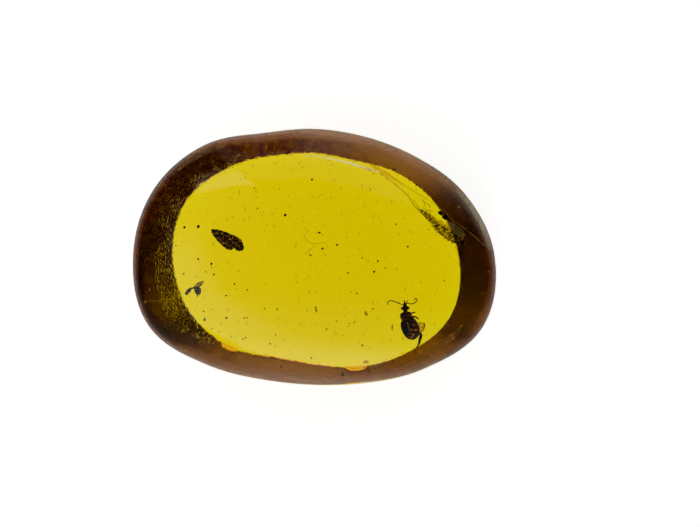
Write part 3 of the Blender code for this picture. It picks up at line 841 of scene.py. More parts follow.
def add_lump(bm, spec, origin=Vector((0, 0, 0)), power=2.0, rings=20, segments=32, shape=None, material=0):
    """Adds a ball with its poles on Y, squared off by power, that a shape function may change."""
    upright = Matrix.Rotation(math.pi / 2, 4, "X")
    verts = bmesh.ops.create_uvsphere(
        bm, u_segments=segments, v_segments=rings, radius=1, matrix=upright
    )["verts"]
    for vert in verts:
        ring = math.hypot(vert.co.x, vert.co.z)
        if ring > 1e-6:
            wider = max(0.0, 1 - abs(vert.co.y) ** power) ** (1 / power) / ring
            vert.co.x *= wider
            vert.co.z *= wider
        if shape:
            vert.co = shape(vert.co)
    matrix = placed(Vector(spec["at"]) + origin, spec["half"], spec["turn"], spec["roll"])
    bmesh.ops.transform(bm, matrix=matrix, verts=verts)
    for face in {face for vert in verts for face in vert.link_faces}:
        face.material_index = material
    return verts


def smooth_chain(chain, steps):
    """The chain with points added between its own on a smooth curve (Catmull-Rom)."""
    knots = [Vector(entry) for entry in chain]
    line = []
    for index in range(len(knots) - 1):
        here, after = knots[index], knots[index + 1]
        before = knots[max(index - 1, 0)]
        beyond = knots[min(index + 2, len(knots) - 1)]
        for step in range(steps):
            t = step / steps
            slope_here, slope_after = (after - before) / 2, (beyond - here) / 2
            bend = 2 * (here - after) + slope_here + slope_after
            lean = 3 * (after - here) - 2 * slope_here - slope_after
            line.append(here + t * (slope_here + t * (lean + t * bend)))
    return line + [knots[-1]]


def add_strand(bm, line, sides=10, flat=None, tilt=0.0, material=0):
    """Adds a closed strand along points with a half width. A flat one is a strip, flat mm thick."""
    points = [Vector(entry[:3]) for entry in line]
    corner = Matrix.Rotation(math.pi / 4, 4, "Z") if flat else Matrix.Identity(4)
    rings = []
    for index, entry in enumerate(line):
        ahead = (points[min(index + 1, len(points) - 1)] - points[max(index - 1, 0)]).normalized()
        side = Matrix.Rotation(tilt, 3, ahead) @ ahead.cross(Vector((0, 0, 1))).normalized()
        across = Matrix((side, side.cross(ahead), ahead)).transposed().to_4x4()
        wide, thick = (entry[3] * math.sqrt(2), flat / math.sqrt(2)) if flat else (entry[3], entry[3])
        size = Matrix.Diagonal((wide * MM, thick * MM, 1, 1))
        made = bmesh.ops.create_circle(
            bm,
            cap_ends=False,
            segments=4 if flat else sides,
            radius=1,
            matrix=Matrix.Translation(points[index] * MM) @ across @ size @ corner,
        )
        rings.append([edge for vert in made["verts"] for edge in vert.link_edges])
    walls = []
    for near, far in zip(rings, rings[1:]):
        walls += bmesh.ops.bridge_loops(bm, edges=list(set(near + far)))["faces"]
    ends = [edge for ring in (rings[0], rings[-1]) for edge in ring if edge.is_boundary]
    walls += bmesh.ops.holes_fill(bm, edges=list(set(ends)))["faces"]
    for face in walls:
        face.material_index = material


def limb(origin, chain, steps=4, joints=0.0):
    """The points of a limb counted from an origin, pinched between its joints."""
    line = []
    for index, entry in enumerate(smooth_chain(chain, steps)):
        pinch = 1 - joints * (index % 2)
        line.append((*(Vector(entry[:3]) + origin), entry[3] * pinch))
    return line


def under_top(chain, steps=6, ragged=0.0, size=0.25):
    """The points of a chain that is given by depths below the stone's top, made ragged."""
    line = []
    for x, y, depth, half in smooth_chain(chain, steps):
        wave = noise.noise(Vector((x, y, 0)) / size)
        thinnest = 0.25 * half
        line.append((x, y, top_over(x, y) - depth, max(thinnest, half * (1 + ragged * wave))))
    return line


def build_amber(settings):
    """The clear stone, shaped from a ball, with how pitted it is and its girth kept for its material."""
    bm = bmesh.new()
    bmesh.ops.create_uvsphere(bm, u_segments=STONE_AROUND, v_segments=STONE_RINGS, radius=1)
    pitting = bm.verts.layers.float.new("pitting")
    girth = bm.verts.layers.float_vector.new("girth")
    for vert in bm.verts:
        turned = math.atan2(vert.co.y, vert.co.x) % math.tau
        place, pitted, out = stone_point(vert.co)
        vert[pitting] = pitted
        across = out + PIT_CLIMB * place.z
        vert[girth] = (turned * GIRTH_RADIUS / PIT_LENGTH, across / PIT_WIDTH, 0.0)
        vert.co = place * MM
    return add_piece(
        bm, "amber", [polished_amber(settings)], sharp=25, replaces=("amber_lower", "amber_upper")
    )


def painted_shade_skin():
    """Painted shade: a brown, patchy filter that darkens the dark rim, taking out more green than red from
    the light that it lets by.
    """
    made, tree = new_material("painted_shade_filter")
    place = node(tree, "ShaderNodeTexCoord").outputs["Object"]
    patches = node(
        tree, "ShaderNodeTexNoise", {"Vector": place, "Scale": 1 / (SKIN_PATCH * MM), "Detail": 6.0}
    ).outputs["Fac"]
    uneven = node(
        tree,
        "ShaderNodeMapRange",
        {"Value": patches, "From Min": 0.38, "From Max": 0.55, "To Min": 0.4, "To Max": 1.1},
        interpolation_type="SMOOTHSTEP",
    ).outputs["Result"]
    thick = node(tree, "ShaderNodeAttribute", attribute_name="amount").outputs["Fac"]
    amount = node(tree, "ShaderNodeMath", {0: thick, 1: uneven}, operation="MULTIPLY").outputs["Value"]
    brown = (*linear("skin"), 1.0)
    mixed = node(
        tree, "ShaderNodeMix", {"Factor": amount, "A": (1.0, 1.0, 1.0, 1.0), "B": brown}, data_type="RGBA"
    ).outputs["Result"]
    shader = node(
        tree,
        "ShaderNodeBsdfPrincipled",
        {"Base Color": mixed, "Transmission Weight": 1.0, "IOR": 1.0, "Roughness": 0.0},
    )
    node(tree, "ShaderNodeOutputMaterial", {"Surface": shader.outputs["BSDF"]})
    return made


def build_skin():
    """The painted shade skin: a brown filter strip just inside the lower side, all round where it darkens the
    rim.
    """
    bm = bmesh.new()
    bmesh.ops.create_cone(bm, cap_ends=False, segments=SKIN_SEGMENTS, radius1=1, radius2=1, depth=1)
    upright = [edge for edge in bm.edges if abs(edge.verts[0].co.z - edge.verts[1].co.z) > 0.5]
    bmesh.ops.subdivide_edges(bm, edges=upright, cuts=SKIN_CUTS, use_grid_fill=True)
    layer = bm.verts.layers.float.new("amount")
    for vert in bm.verts:
        angle = math.atan2(vert.co.y, vert.co.x)
        out, z = underside(SKIN_END * (vert.co.z + 0.5), angle)
        starts = SKIN_STARTS[0] + (SKIN_STARTS[1] - SKIN_STARTS[0]) * math.sin(angle) ** 2
        share = (around(OUTLINE_RADII, angle) - out - starts) / SKIN_FADE
        vert[layer] = max(0.0, around(SKIN_AROUND, angle)) * clamp(share)
        vert.co = in_frame(out - SKIN_DEPTH, angle, z + SKIN_DEPTH) * MM
    bare = [face for face in bm.faces if max(vert[layer] for vert in face.verts) == 0]
    bmesh.ops.delete(bm, geom=bare, context="FACES")
    bmesh.ops.recalc_face_normals(bm, faces=bm.faces)
    bmesh.ops.solidify(bm, geom=bm.faces[:], thickness=SKIN_THICKNESS * MM)
    return add_piece(bm, "painted_shade_skin", [painted_shade_skin()])


def shape_wing_cases(co):
    """Turns a unit ball to grooved wing cases with a seam, flat below and cut off in front."""
    if co.z > 0:
        groove = STRIA_DEPTH / WING_CASES["half"][2]
        co.z -= groove * (1 + math.cos(math.tau * STRIAE * co.x)) * co.z
    if co.z > SEAM_FROM and abs(co.x) < SEAM_REACH:
        co.z -= SEAM_DEPTH / WING_CASES["half"][2]
    if co.z < 0:
        co.z *= WING_CASES_FLAT_BELOW
    co.y = min(co.y, WING_CASES_FRONT)
    return co


def beetle_materials(settings):
    """The materials of the beetle, in the order of their slots."""
    red, gold, dark = linear("chitin_red"), linear("chitin_gold"), tuple(settings.chitin)
    return [
        # Tanned chitin, as it grew: a dull black-brown shell that glows red-brown where it is thin.
        mottled(
            "tanned_chitin", dark, linear("chitin_amber"), size=0.2, roughness=0.5, bump=0.006,
            between=(0.44, 0.64), clear=(0.0, 0.9), tint="redness"
        ),
        # Smooth cuticle over the eye's facets, which are too fine to show: black with a small gleam.
        mottled("compound_eye", linear("eye"), dark, size=0.02, roughness=0.2),
        # Thin chitin of margins and torn edges: the light behind it turns it red and gold.
        mottled(
            "thin_golden_chitin", red, gold, size=0.1, roughness=0.5, between=(0.35, 0.6), clear=(0.35, 0.85)
        ),
        # Untanned chitin: pale cloudy spots that catch the light from above.
        mottled("pale_chitin", gold, linear("chitin_pale"), size=0.06, roughness=0.6, clear=(0.3, 0.5)),
        # Folded wing membrane: a clear film that dims the resin to fawn.
        mottled(
            "crumpled_hind_wing", linear("fibre_light"), linear("wing"), size=0.14, roughness=0.5,
            between=(0.4, 0.65), clear=(0.9, 0.97)
        ),
    ]


def build_beetle(settings):
    """The beetle on its belly, with its right hind wing and legs showing beside it."""
    bm = bmesh.new()
    redness = bm.verts.layers.float.new("redness")
    local = placed(
        Vector(WING_CASES["at"]) + BEETLE_AT, WING_CASES["half"], WING_CASES["turn"], WING_CASES["roll"]
    ).inverted()
    middle, to_right, to_head = CASE_REDNESS
    for vert in add_lump(
        bm, WING_CASES, BEETLE_AT, power=2.2, rings=64, segments=96, shape=shape_wing_cases
    ):
        place = local @ vert.co
        vert[redness] = clamp(middle + to_right * place.x + to_head * place.y)
    for spec, power in ((THORAX, 2.6), (NECK, 2.0), (HEAD, 1.5), (SNOUT, 1.6)):
        for vert in add_lump(bm, spec, BEETLE_AT, power=power, rings=28, segments=40):
            vert[redness] = FRONT_REDNESS
    add_lump(bm, WAIST, BEETLE_AT)
    for at in EYES_AT:
        add_lump(bm, {"at": at, "half": (EYE_RADIUS,) * 3, "turn": 0, "roll": 0}, BEETLE_AT, material=1)
    for spec in THORAX_MARGINS:
        add_lump(bm, spec, BEETLE_AT, material=2)
    add_lump(bm, HIND_WING, BEETLE_AT, material=4)
    for spec in THORAX_SPOTS:
        add_lump(bm, spec, BEETLE_AT, rings=10, segments=16, material=3)
    for chain in ANTENNAE:
        add_strand(bm, limb(BEETLE_AT, chain, joints=0.25))
    for chain in LEGS_AND_PALPS:
        add_strand(bm, limb(BEETLE_AT, chain))
    add_strand(bm, limb(BEETLE_AT, SEAM_STREAK), material=3)
    for chain in (COLLAR, HIND_WING_EDGE, HIND_WING_STUMP):
        add_strand(bm, limb(BEETLE_AT, chain), material=2)
    return add_piece(bm, "beetle_body", beetle_materials(settings), replaces=("beetle",))


def scale_edges(place):
    """The bud scale's lower and upper edge at a place along it."""
    for near, far in zip(SCALE_STATIONS, SCALE_STATIONS[1:]):
        if place <= far[0]:
            t = max(0.0, (place - near[0]) / (far[0] - near[0]))
            return near[1] + (far[1] - near[1]) * t, near[2] + (far[2] - near[2]) * t
    return SCALE_STATIONS[-1][1:]


def build_bud_scale(settings):
    """The bud scale: a ball drawn out along its stations, ribbed, wrinkled and ragged."""
    # Dried leathery leaf tissue: blotched dark brown, with tawny light through its thin spots.
    tissue = mottled(
        "dry_bud_scale", tuple(settings.scale), linear("scale_light"), size=0.2, roughness=0.7, bump=0.03,
        between=(0.44, 0.72), clear=(0.1, 0.9)
    )
    bm = bmesh.new()
    bmesh.ops.create_uvsphere(bm, u_segments=96, v_segments=96, radius=1)
    first, last = SCALE_STATIONS[0][0], SCALE_STATIONS[-1][0]
    for vert in bm.verts:
        along, across, up = vert.co.z, vert.co.x, vert.co.y
        ring = math.hypot(across, up)
        place = first + (last - first) * (along + 1) / 2
        lower, upper = scale_edges(place)
        torn = noise.fractal(Vector((place, 0.3 * across, 0)) * SCALE_TEARS, 0.7, 2.0, 3)
        ragged = SCALE_RAGGED * torn
        share = (across / ring + 1) / 2 if ring > 1e-6 else 0.5
        side = up / ring if ring > 1e-6 else 0.0
        fuller = math.sin(math.pi * share) * min(1.0, (upper - lower) / SCALE_THICKNESS)
        creases = Vector((place * SCALE_WRINKLES[0], share * SCALE_WRINKLES[1], side))
        wrinkle = SCALE_WRINKLE * noise.fractal(creases, 0.8, 2.0, 4)
        if place > SCALE_BASE_FROM:
            wrinkle += SCALE_BASE_RIDGE * math.sin(place * SCALE_BASE_RIDGES)
        rib = SCALE_RIDGE * math.cos(math.tau * SCALE_RIBS * share)
        z = side * (SCALE_EDGE + (SCALE_THICKNESS - SCALE_EDGE) * fuller) / 2 + (rib + wrinkle) * fuller
        y = lower + (upper - lower) * share + ragged * (2 * share - 1)
        vert.co = Vector((place, y, z)) * MM
    lie = Matrix.Translation(SCALE_AT * MM) @ Matrix.Rotation(SCALE_TURN, 4, "Z")
    bmesh.ops.transform(bm, matrix=lie, verts=bm.verts)
    return add_piece(bm, "bud_scale_tissue", [tissue], replaces=("bud_scale",))


def build_plant_scrap():
    """The plant scrap: a pod, a knot, a leaf tip and the broken fibres between them."""
    dark, light = linear("fibre_dark"), linear("fibre_light")
    materials = [
        # Rotted fibre: dull olive-black, and olive-gold where it has worn thin.
        mottled(
            "rotted_plant_fibre", dark, light, size=0.12, roughness=0.7, bump=0.02, between=(0.45, 0.65),
            clear=(0.05, 0.8)
        ),
        # Rotted leaf: thinner, so most of it lets the light by.
        mottled(
            "rotted_leaf", dark, light, size=0.15, roughness=0.7, bump=0.02, between=(0.3, 0.55),
            clear=(0.4, 0.95)
        ),
    ]
    bm = bmesh.new()
    rough = lumpy(0.35, 1.7)
    add_lump(bm, POD, SCRAP_AT, shape=rough)
    add_lump(bm, KNOT, SCRAP_AT, shape=rough)
    add_lump(bm, LEAF_TIP, SCRAP_AT, shape=rough, material=1)
    for chain in FIBRES:
        add_strand(bm, limb(SCRAP_AT, chain))
    return add_piece(bm, "plant_scrap_fibre", materials, replaces=("plant_scrap",))


def add_grain(bm, place, radius, draw, subdivisions=1, material=0):
    """Adds a small lumpy grain."""
    turn = Matrix.Rotation(draw.uniform(0, math.tau), 4, Vector((draw.random(), draw.random(), 1.0)))
    stretch = Matrix.Diagonal((*(draw.uniform(*span) for span in GRAIN_STRETCH), 1))
    made = bmesh.ops.create_icosphere(
        bm,
        subdivisions=subdivisions,
        radius=radius * MM,
        matrix=Matrix.Translation(Vector(place) * MM) @ turn @ stretch,
    )["verts"]
    for face in {face for vert in made for face in vert.link_faces}:
        face.material_index = material


def build_dust(settings):
    """Dust sealed in the resin, fine and coarse, and grains near the rim."""
    materials = [
        # Soil and droppings: dull near-black specks.
        mottled("sealed_dust", linear("dust"), linear("fibre_dark"), size=0.05, roughness=0.8),
        # Mineral grit: gold and cream specks.
        mottled("pale_mineral_grain", linear("gold"), linear("cream"), size=0.05, roughness=0.5),
    ]
    draw = random.Random(settings.dust_seed)
    bm = bmesh.new()
    for x, y, radius in GRAINS:
        deep = top_over(x, y) - draw.uniform(*GRAIN_DEPTHS)
        add_grain(bm, (x, y, deep), radius, draw, subdivisions=2)
    for grains, cover, material in ((RIM_GRAINS, RIM_GRAIN_COVER, 0), (PALE_GRAINS, PALE_GRAIN_COVER, 1)):
        for x, y, radius in grains:
            place = (x, y, top_over(x, y) - radius - cover)
            add_grain(bm, place, radius, draw, subdivisions=2, material=material)
    for _ in range(CRUMBS):
        x, y = CRUMBS_AT[0] + draw.gauss(0, CRUMB_SPREAD), CRUMBS_AT[1] + draw.gauss(0, CRUMB_SPREAD)
        deep = top_over(x, y) - draw.uniform(*CRUMB_DEPTHS)
        add_grain(bm, (x, y, deep), CRUMB_RADIUS, draw, material=1)
    for _ in range(settings.fine_grains):
        angle = draw.uniform(0, math.tau)
        share = math.sqrt(draw.random()) * FINE_GRAINS_REACH
        place = in_frame(around(OUTLINE_RADII, angle) * share, angle, 0)
        place.z = draw.uniform(FINE_GRAINS_FROM, top_over(place.x, place.y) - FINE_GRAINS_COVER)
        radius = FINE_GRAIN_RADIUS * draw.uniform(*FINE_GRAIN_SIZES) ** FINE_GRAIN_POWER
        add_grain(bm, place, radius, draw)
    band = under_top(SEAM_BAND, steps=8)
    for _ in range(BAND_CRUMBS):
        x, y, z, half = draw.choice(band)
        spread = BAND_CRUMB_SPREAD * half
        place = (x + draw.gauss(0, spread), y + draw.gauss(0, spread), z - BAND_CRUMB_DROP)
        add_grain(bm, place, draw.uniform(*BAND_CRUMB_RADII), draw)
    for _ in range(EDGE_GRAINS):
        angle = draw.uniform(0, math.tau)
        out = around(OUTLINE_RADII, angle) - face_inset(angle) + draw.gauss(*EDGE_GRAINS_OUT)
        place = in_frame(out, angle, draw.uniform(*EDGE_GRAIN_HEIGHTS))
        add_grain(bm, place, draw.uniform(*EDGE_GRAIN_RADII), draw)
    return add_piece(bm, "dust_grains", materials)


def build_flecks(settings):
    """Faint flecks deep in the resin, drawn out the way that it flowed."""
    # Resin clouded by droplets of sap: olive shadows, hardly darker than the stone.
    faint = mottled(
        "faint_resin_fleck", linear("smudge"), linear("fibre_light"), size=0.08, roughness=0.8,
        alpha=(0.10, 0.22)
    )
    draw = random.Random(settings.dust_seed + 1)
    bm = bmesh.new()
    for _ in range(FAINT_FLECKS):
        angle = draw.uniform(0, math.tau)
        share = math.sqrt(draw.random()) * FLECKS_REACH
        place = in_frame(around(OUTLINE_RADII, angle) * share, angle, draw.uniform(*FLECK_HEIGHTS))
        width = draw.uniform(*FLECK_WIDTHS)
        half = (width, width * draw.uniform(*FLECK_STRETCH), width)
        spec = {"at": place, "half": half, "turn": draw.gauss(*FLECK_TURNS), "roll": 0}
        add_lump(bm, spec, rings=8, segments=10)
    return add_piece(bm, "faint_flecks", [faint])


def build_marks():
    """Smudges, a bubble, hairs and chips of bark."""
    materials = [
        # Cloudy resin: soft olive smudges.
        mottled(
            "resin_smudge", linear("smudge"), linear("fibre_light"), size=0.08, roughness=0.8,
            alpha=(0.5, 0.15)
        ),
        # A bubble lined with silt: a small brown and yellow lens.
        mottled(
            "muddy_bubble", linear("scale_light"), linear("bubble"), size=0.12, roughness=0.3,
            between=(0.4, 0.65), clear=(0.93, 0.97)
        ),
        # Plant hair: thin brown lines that break up along their length.
        mottled(
            "hair", linear("fibre_dark"), linear("chitin_red"), size=0.1, roughness=0.6, alpha=(0.6, 0.3)
        ),
        # Broken bark: black, with a red glow at its thin edges.
        mottled(
            "chip_of_bark", linear("dust"), linear("chitin_red"), size=0.2, roughness=0.6, bump=0.02,
            between=(0.5, 0.7), clear=(0.0, 0.5)
        ),
    ]
    bm = bmesh.new()
    rough = lumpy(0.3, 1.5)
    for spec in SMUDGES:
        add_lump(bm, spec, shape=rough)
    add_lump(bm, BUBBLE, material=1)
    for chain in HAIRS:
        add_strand(bm, under_top(chain), sides=6, material=2)
    for spec in CHIP_OF_BARK:
        add_lump(bm, spec, shape=rough, material=3)
    return add_piece(bm, "small_marks", materials)


def build_crust_and_sheen():
    """A cream crust under the rounded shoulder on the right, and a painted sheen on the sides: orange-brown
    films that brighten the rim's outer band.
    """
    streak = linear("streak")
    materials = [
        # Chalky weathered resin under the polish: a cloudy cream film.
        mottled(
            "cream_crust", linear("scale_light"), linear("cream"), size=0.25, roughness=0.6,
            between=(0.25, 0.5), alpha=(0.0, 0.9), tint="cover"
        ),
        # Oxidised resin under the polish: an orange-brown haze that the polish has drawn out.
        # Painted sheen: an orange-brown film under the polish, drawn out along the rim, that brightens the
        # rim's outer band.
        mottled(
            "painted_sheen_crust", streak, streak, size=0.3, roughness=0.6, between=(0.1, 0.75), alpha=(0.0, 0.8),
            tint="cover", streaked=True
        ),
    ]
    bm = bmesh.new()
    cover = bm.verts.layers.float.new("cover")
    girth = bm.verts.layers.float_vector.new("girth")
    for index, (first, last, outer, inner, strength) in enumerate(CRUSTS_AND_SHEENS):
        verts = bmesh.ops.create_grid(bm, x_segments=90, y_segments=10, size=0.5)["verts"]
        for vert in verts:
            along, across = vert.co.x + 0.5, vert.co.y + 0.5
            angle = math.radians(first + (last - first) * along)
            radius, width = around(OUTLINE_RADII, angle), shoulder_width(angle)
            inside = outer + (inner - outer) * across
            out, z = shoulder(math.acos(max(-1.0, 1 - inside / width)), radius, width)
            faded = min(1.0, CRUST_FADE_INSIDE * (1 - across), CRUST_FADE_OUTSIDE * across)
            vert[cover] = strength * (faded * math.sin(math.pi * along) ** 0.5)
            vert[girth] = (angle * GIRTH_RADIUS / CRUST_STREAK[0], inside / CRUST_STREAK[1], 0.0)
            vert.co = in_frame(out - CRUST_DEPTH, angle, z - CRUST_DEPTH) * MM
        for face in {face for vert in verts for face in vert.link_faces}:
            face.material_index = min(index, 1)
    bmesh.ops.recalc_face_normals(bm, faces=bm.faces)
    bmesh.ops.solidify(bm, geom=bm.faces[:], thickness=CRUST_THICKNESS * MM)
    return add_piece(bm, "cream_crust_and_painted_sheen", materials)


def seam_materials():
    """The materials of the flow seam, in the order of their slots."""
    dark = linear("seam")
    return [
        # Soot and silt that stuck to the skin of the first flow: a grainy dark band with gaps.
        mottled(
            "sooty_flow_seam", dark, dark, size=0.18, roughness=0.7, between=(0.32, 0.62), alpha=(0.8, 0.0)
        ),
        # The same skin seen edge on: a fine dark line.
        mottled("thin_flow_seam", dark, linear("fibre_light"), size=0.2, roughness=0.7, alpha=(0.7, 0.3)),
        # Fold in the resin: a golden line that catches the light.
        mottled(
            "golden_flow_line", linear("chitin_gold"), linear("gold"), size=0.2, roughness=0.3,
            alpha=(0.7, 0.3)
        ),
        # A thicker fold: it deepens the yellow behind it.
        stained_resin("gold_veil", linear("veil")),
        # A film of trapped gas: a grey haze over the dark rim.
        mottled(
            "grey_veil", linear("grey_veil"), linear("cream"), size=0.6, roughness=0.4, between=(0.2, 0.8),
            alpha=(0.32, 0.1)
        ),
        silvered_crack("silvered_crack", linear("crack")),
        # Stained resin along the band: it turns the yellow behind it to olive-brown.
        stained_resin("brown_seam_veil", linear("brown_veil")),
        # Soft orange-brown streaks that lighten the rim.
        mottled(
            "brown_rim_streak", linear("streak"), linear("grey_veil"), size=0.5, roughness=0.5,
            between=(0.25, 0.75), alpha=(0.5, 0.05)
        ),
    ]


def build_seam():
    """The seam between two flows of resin: dark lines and a band, golden lines, veils and a crack."""
    bm = bmesh.new()
    add_strand(bm, under_top(SEAM_BAND, steps=16, ragged=0.6, size=0.2), flat=0.06, material=0)
    add_strand(bm, under_top(BROWN_VEIL, steps=10, ragged=0.8, size=0.3), flat=0.04, material=6)
    for chain in (SEAM_LINE, SEAM_BRANCH):
        add_strand(bm, under_top(chain, steps=10, ragged=0.8), sides=6, material=1)
    for chain in GOLDEN_LINES:
        add_strand(bm, under_top(chain, ragged=0.6), sides=6, material=2)
    add_strand(bm, under_top(GOLD_VEIL, ragged=0.5), flat=0.04, material=3)
    add_strand(bm, under_top(GREY_VEIL, ragged=0.7), flat=0.04, material=4)
    add_strand(bm, under_top(CRACK, steps=10, ragged=0.5, size=0.3), flat=0.02, tilt=CRACK_TILT, material=5)
    for chain in RIM_STREAKS:
        add_strand(bm, under_top(chain, ragged=0.4, size=0.6), flat=0.03, material=7)
    return add_piece(bm, "flow_seam", seam_materials())


def build_glint_films():
    """Painted glints: orange filter films over the nicks of the flat face, which turn orange the light from
    below that the nicks let through.
    """
    bm = bmesh.new()
    for middle, spread, reach in NICKS:
        line = []
        for step in range(2 * GLINT_FILM_STEPS + 1):
            angle = math.radians(middle + spread * (step / GLINT_FILM_STEPS - 1))
            inset, plain = face_inset(angle), around(FACE_INSETS, angle)
            out = around(OUTLINE_RADII, angle) - (inset + plain) / 2
            half = (plain - inset) / 2 + GLINT_FILM_PAST * reach + GLINT_FILM_MARGIN
            line.append((*in_frame(out, angle, GLINT_FILM_HEIGHT), half))
        add_strand(bm, line, flat=0.04)
    # Painted glint colour: a clear orange filter.
    stain = stained_resin("orange_glint_filter", linear("stain"), size=0.12)
    return add_piece(bm, "orange_glint_films", [stain])


def lit_by(tree, way, panels):
    """The light from panels, as one strength by direction."""
    total = None
    for strength, ramps in panels:
        light = strength
        for angle, start, full in ramps:
            turned = (math.cos(math.radians(angle)), math.sin(math.radians(angle)), 0.0)
            along = node(tree, "ShaderNodeVectorMath", {0: way, 1: turned}, operation="DOT_PRODUCT")
            ramp = node(
                tree,
                "ShaderNodeMapRange",
                {"Value": along.outputs["Value"], "From Min": start, "From Max": full},
                interpolation_type="SMOOTHSTEP",
            ).outputs["Result"]
            light = node(tree, "ShaderNodeMath", {0: ramp, 1: light}, operation="MULTIPLY").outputs["Value"]
        if total:
            light = node(tree, "ShaderNodeMath", {0: total, 1: light}, operation="ADD").outputs["Value"]
        total = light
    return total


def sky_light(tree):
    """The light tent: soft panels and a glow low down, as one strength by direction."""
    way = node(tree, "ShaderNodeTexCoord").outputs["Generated"]
    height = node(tree, "ShaderNodeSeparateXYZ", {"Vector": way}).outputs["Z"]
    glow = node(
        tree,
        "ShaderNodeMapRange",
        {"Value": height, "From Min": HORIZON_HEIGHT, "From Max": 0.0, "To Max": HORIZON_GLOW},
        interpolation_type="SMOOTHSTEP",
    ).outputs["Result"]
    edges = lit_by(tree, way, ((1.0, CRESCENT_EDGES),))
    crescent = node(
        tree, "ShaderNodeMath", {0: lit_by(tree, way, CRESCENT_PANELS), 1: edges}, operation="MULTIPLY"
    ).outputs["Value"]
    total = lit_by(tree, way, SKY_PANELS)
    for light in (crescent, glow):
        total = node(tree, "ShaderNodeMath", {0: total, 1: light}, operation="ADD").outputs["Value"]
    return total


def build_stage(settings):
    """The floor, the light tent and the camera straight above."""
    scene = bpy.context.scene
    # Matt white acrylic over lamps: a pale floor that lights the stone from below.
    made, tree = new_material("pale_floor")
    matt = node(tree, "ShaderNodeBsdfDiffuse", {"Color": (*linear("floor"), 1.0)})
    place = node(tree, "ShaderNodeTexCoord").outputs["Object"]
    along = node(tree, "ShaderNodeSeparateXYZ", {"Vector": place}).outputs["X"]
    falling = node(
        tree,
        "ShaderNodeMapRange",
        {
            "Value": along,
            "From Min": -GLOW_REACH * MM,
            "From Max": GLOW_REACH * MM,
            "To Min": settings.glow * (1 + GLOW_FALL),
            "To Max": settings.glow * (1 - GLOW_FALL),
        },
    ).outputs["Result"]
    glow = node(tree, "ShaderNodeEmission", {"Strength": falling})
    both = node(tree, "ShaderNodeAddShader", {0: matt.outputs["BSDF"], 1: glow.outputs["Emission"]})
    node(tree, "ShaderNodeOutputMaterial", {"Surface": both.outputs["Shader"]})
    bm = bmesh.new()
    bmesh.ops.create_circle(
        bm,
        cap_ends=True,
        segments=96,
        radius=FLOOR_RADIUS,
        matrix=Matrix.Translation((0, 0, -FLOOR_GAP * MM)),
    )
    mesh = bpy.data.meshes.new("floor")
    bm.to_mesh(mesh)
    bm.free()
    mesh.materials.append(made)
    floor = bpy.data.objects.new("floor", mesh)
    scene.collection.objects.link(floor)

    world = bpy.data.worlds.new("light_tent")
    world.use_nodes = True
    tree = world.node_tree
    tree.nodes.clear()
    strength = node(
        tree, "ShaderNodeMath", {0: sky_light(tree), 1: settings.sky}, operation="MULTIPLY"
    ).outputs["Value"]
    tent = node(tree, "ShaderNodeBackground", {"Strength": strength})
    node(tree, "ShaderNodeOutputWorld", {"Surface": tent.outputs["Background"]})
    scene.world = world

    camera = bpy.data.cameras.new("camera")
    holder = bpy.data.objects.new("camera", camera)
    scene.collection.objects.link(holder)
    camera.sensor_width = SENSOR_WIDTH
    camera.clip_start = CLIP_START
    over_girdle = settings.camera_height - GIRDLE_HEIGHT * MM
    camera.lens = camera.sensor_width * over_girdle / (VIEW_WIDTH * MM)
    holder.location = (CAMERA_AT[0] * MM, CAMERA_AT[1] * MM, settings.camera_height)
    scene.camera = holder
    scene.view_settings.view_transform = "Standard"


class AMBER_OT_stone(bpy.types.Operator):
    """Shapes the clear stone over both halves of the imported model"""

    bl_idname = "amber.stone"
    bl_label = "Clear stone"

    def execute(self, context):
        build_amber(context.scene.amber_settings)
        build_skin()
        build_crust_and_sheen()
        return {"FINISHED"}


class AMBER_OT_beetle(bpy.types.Operator):
    """Models the beetle"""

    bl_idname = "amber.beetle"
    bl_label = "Beetle"

    def execute(self, context):
        build_beetle(context.scene.inclusion_settings)
        return {"FINISHED"}


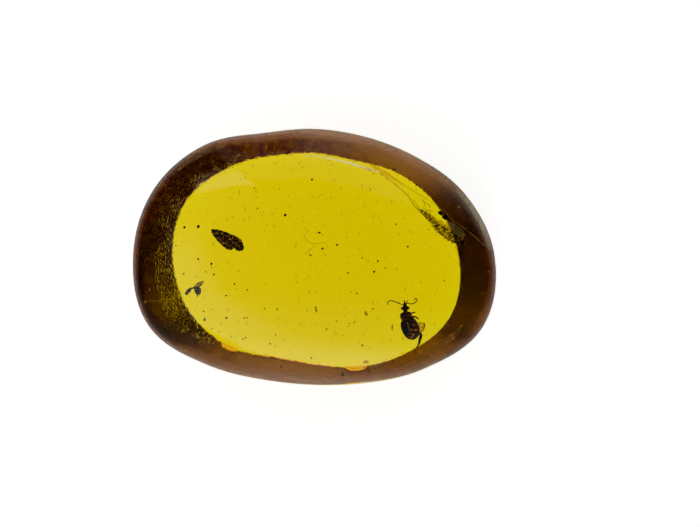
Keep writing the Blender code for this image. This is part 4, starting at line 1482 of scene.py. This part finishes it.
class AMBER_OT_plants(bpy.types.Operator):
    """Models the bud scale and the plant scrap"""

    bl_idname = "amber.plants"
    bl_label = "Bud scale and plant scrap"

    def execute(self, context):
        build_bud_scale(context.scene.inclusion_settings)
        build_plant_scrap()
        return {"FINISHED"}


class AMBER_OT_dust(bpy.types.Operator):
    """Scatters the dust and the small marks in the resin"""

    bl_idname = "amber.dust"
    bl_label = "Dust and marks"

    def execute(self, context):
        build_dust(context.scene.inclusion_settings)
        build_flecks(context.scene.inclusion_settings)
        build_marks()
        return {"FINISHED"}


class AMBER_OT_seam(bpy.types.Operator):
    """Lays the flow seam, the crack and the orange films of the painted glints"""

    bl_idname = "amber.seam"
    bl_label = "Flow seam and stains"

    def execute(self, context):
        build_seam()
        build_glint_films()
        return {"FINISHED"}


class AMBER_OT_stage(bpy.types.Operator):
    """Sets the floor, the light and the camera"""

    bl_idname = "amber.stage"
    bl_label = "Stage"

    def execute(self, context):
        build_stage(context.scene.stage_settings)
        return {"FINISHED"}


OPERATORS = (
    AMBER_OT_stone,
    AMBER_OT_beetle,
    AMBER_OT_plants,
    AMBER_OT_dust,
    AMBER_OT_seam,
    AMBER_OT_stage,
)


class AMBER_PT_panel(bpy.types.Panel):
    """Lists the pieces of the stone"""

    bl_idname = "AMBER_PT_panel"
    bl_label = "Insect in amber"
    bl_space_type = "VIEW_3D"
    bl_region_type = "UI"
    bl_category = "Amber"

    def draw(self, context):
        for operator in OPERATORS:
            self.layout.operator(operator.bl_idname)


SETTINGS = {
    "amber_settings": AmberSettings,
    "inclusion_settings": InclusionSettings,
    "stage_settings": StageSettings,
}
CLASSES = (*SETTINGS.values(), *OPERATORS, AMBER_PT_panel)


def register():
    for cls in CLASSES:
        bpy.utils.register_class(cls)
    for name, group in SETTINGS.items():
        setattr(bpy.types.Scene, name, bpy.props.PointerProperty(type=group))


def unregister():
    for name in SETTINGS:
        delattr(bpy.types.Scene, name)
    for cls in reversed(CLASSES):
        bpy.utils.unregister_class(cls)


def main():
    register()
    bpy.ops.amber.stone()
    bpy.ops.amber.beetle()
    bpy.ops.amber.plants()
    bpy.ops.amber.dust()
    bpy.ops.amber.seam()
    bpy.ops.amber.stage()


if __name__ == "__main__":
    main()
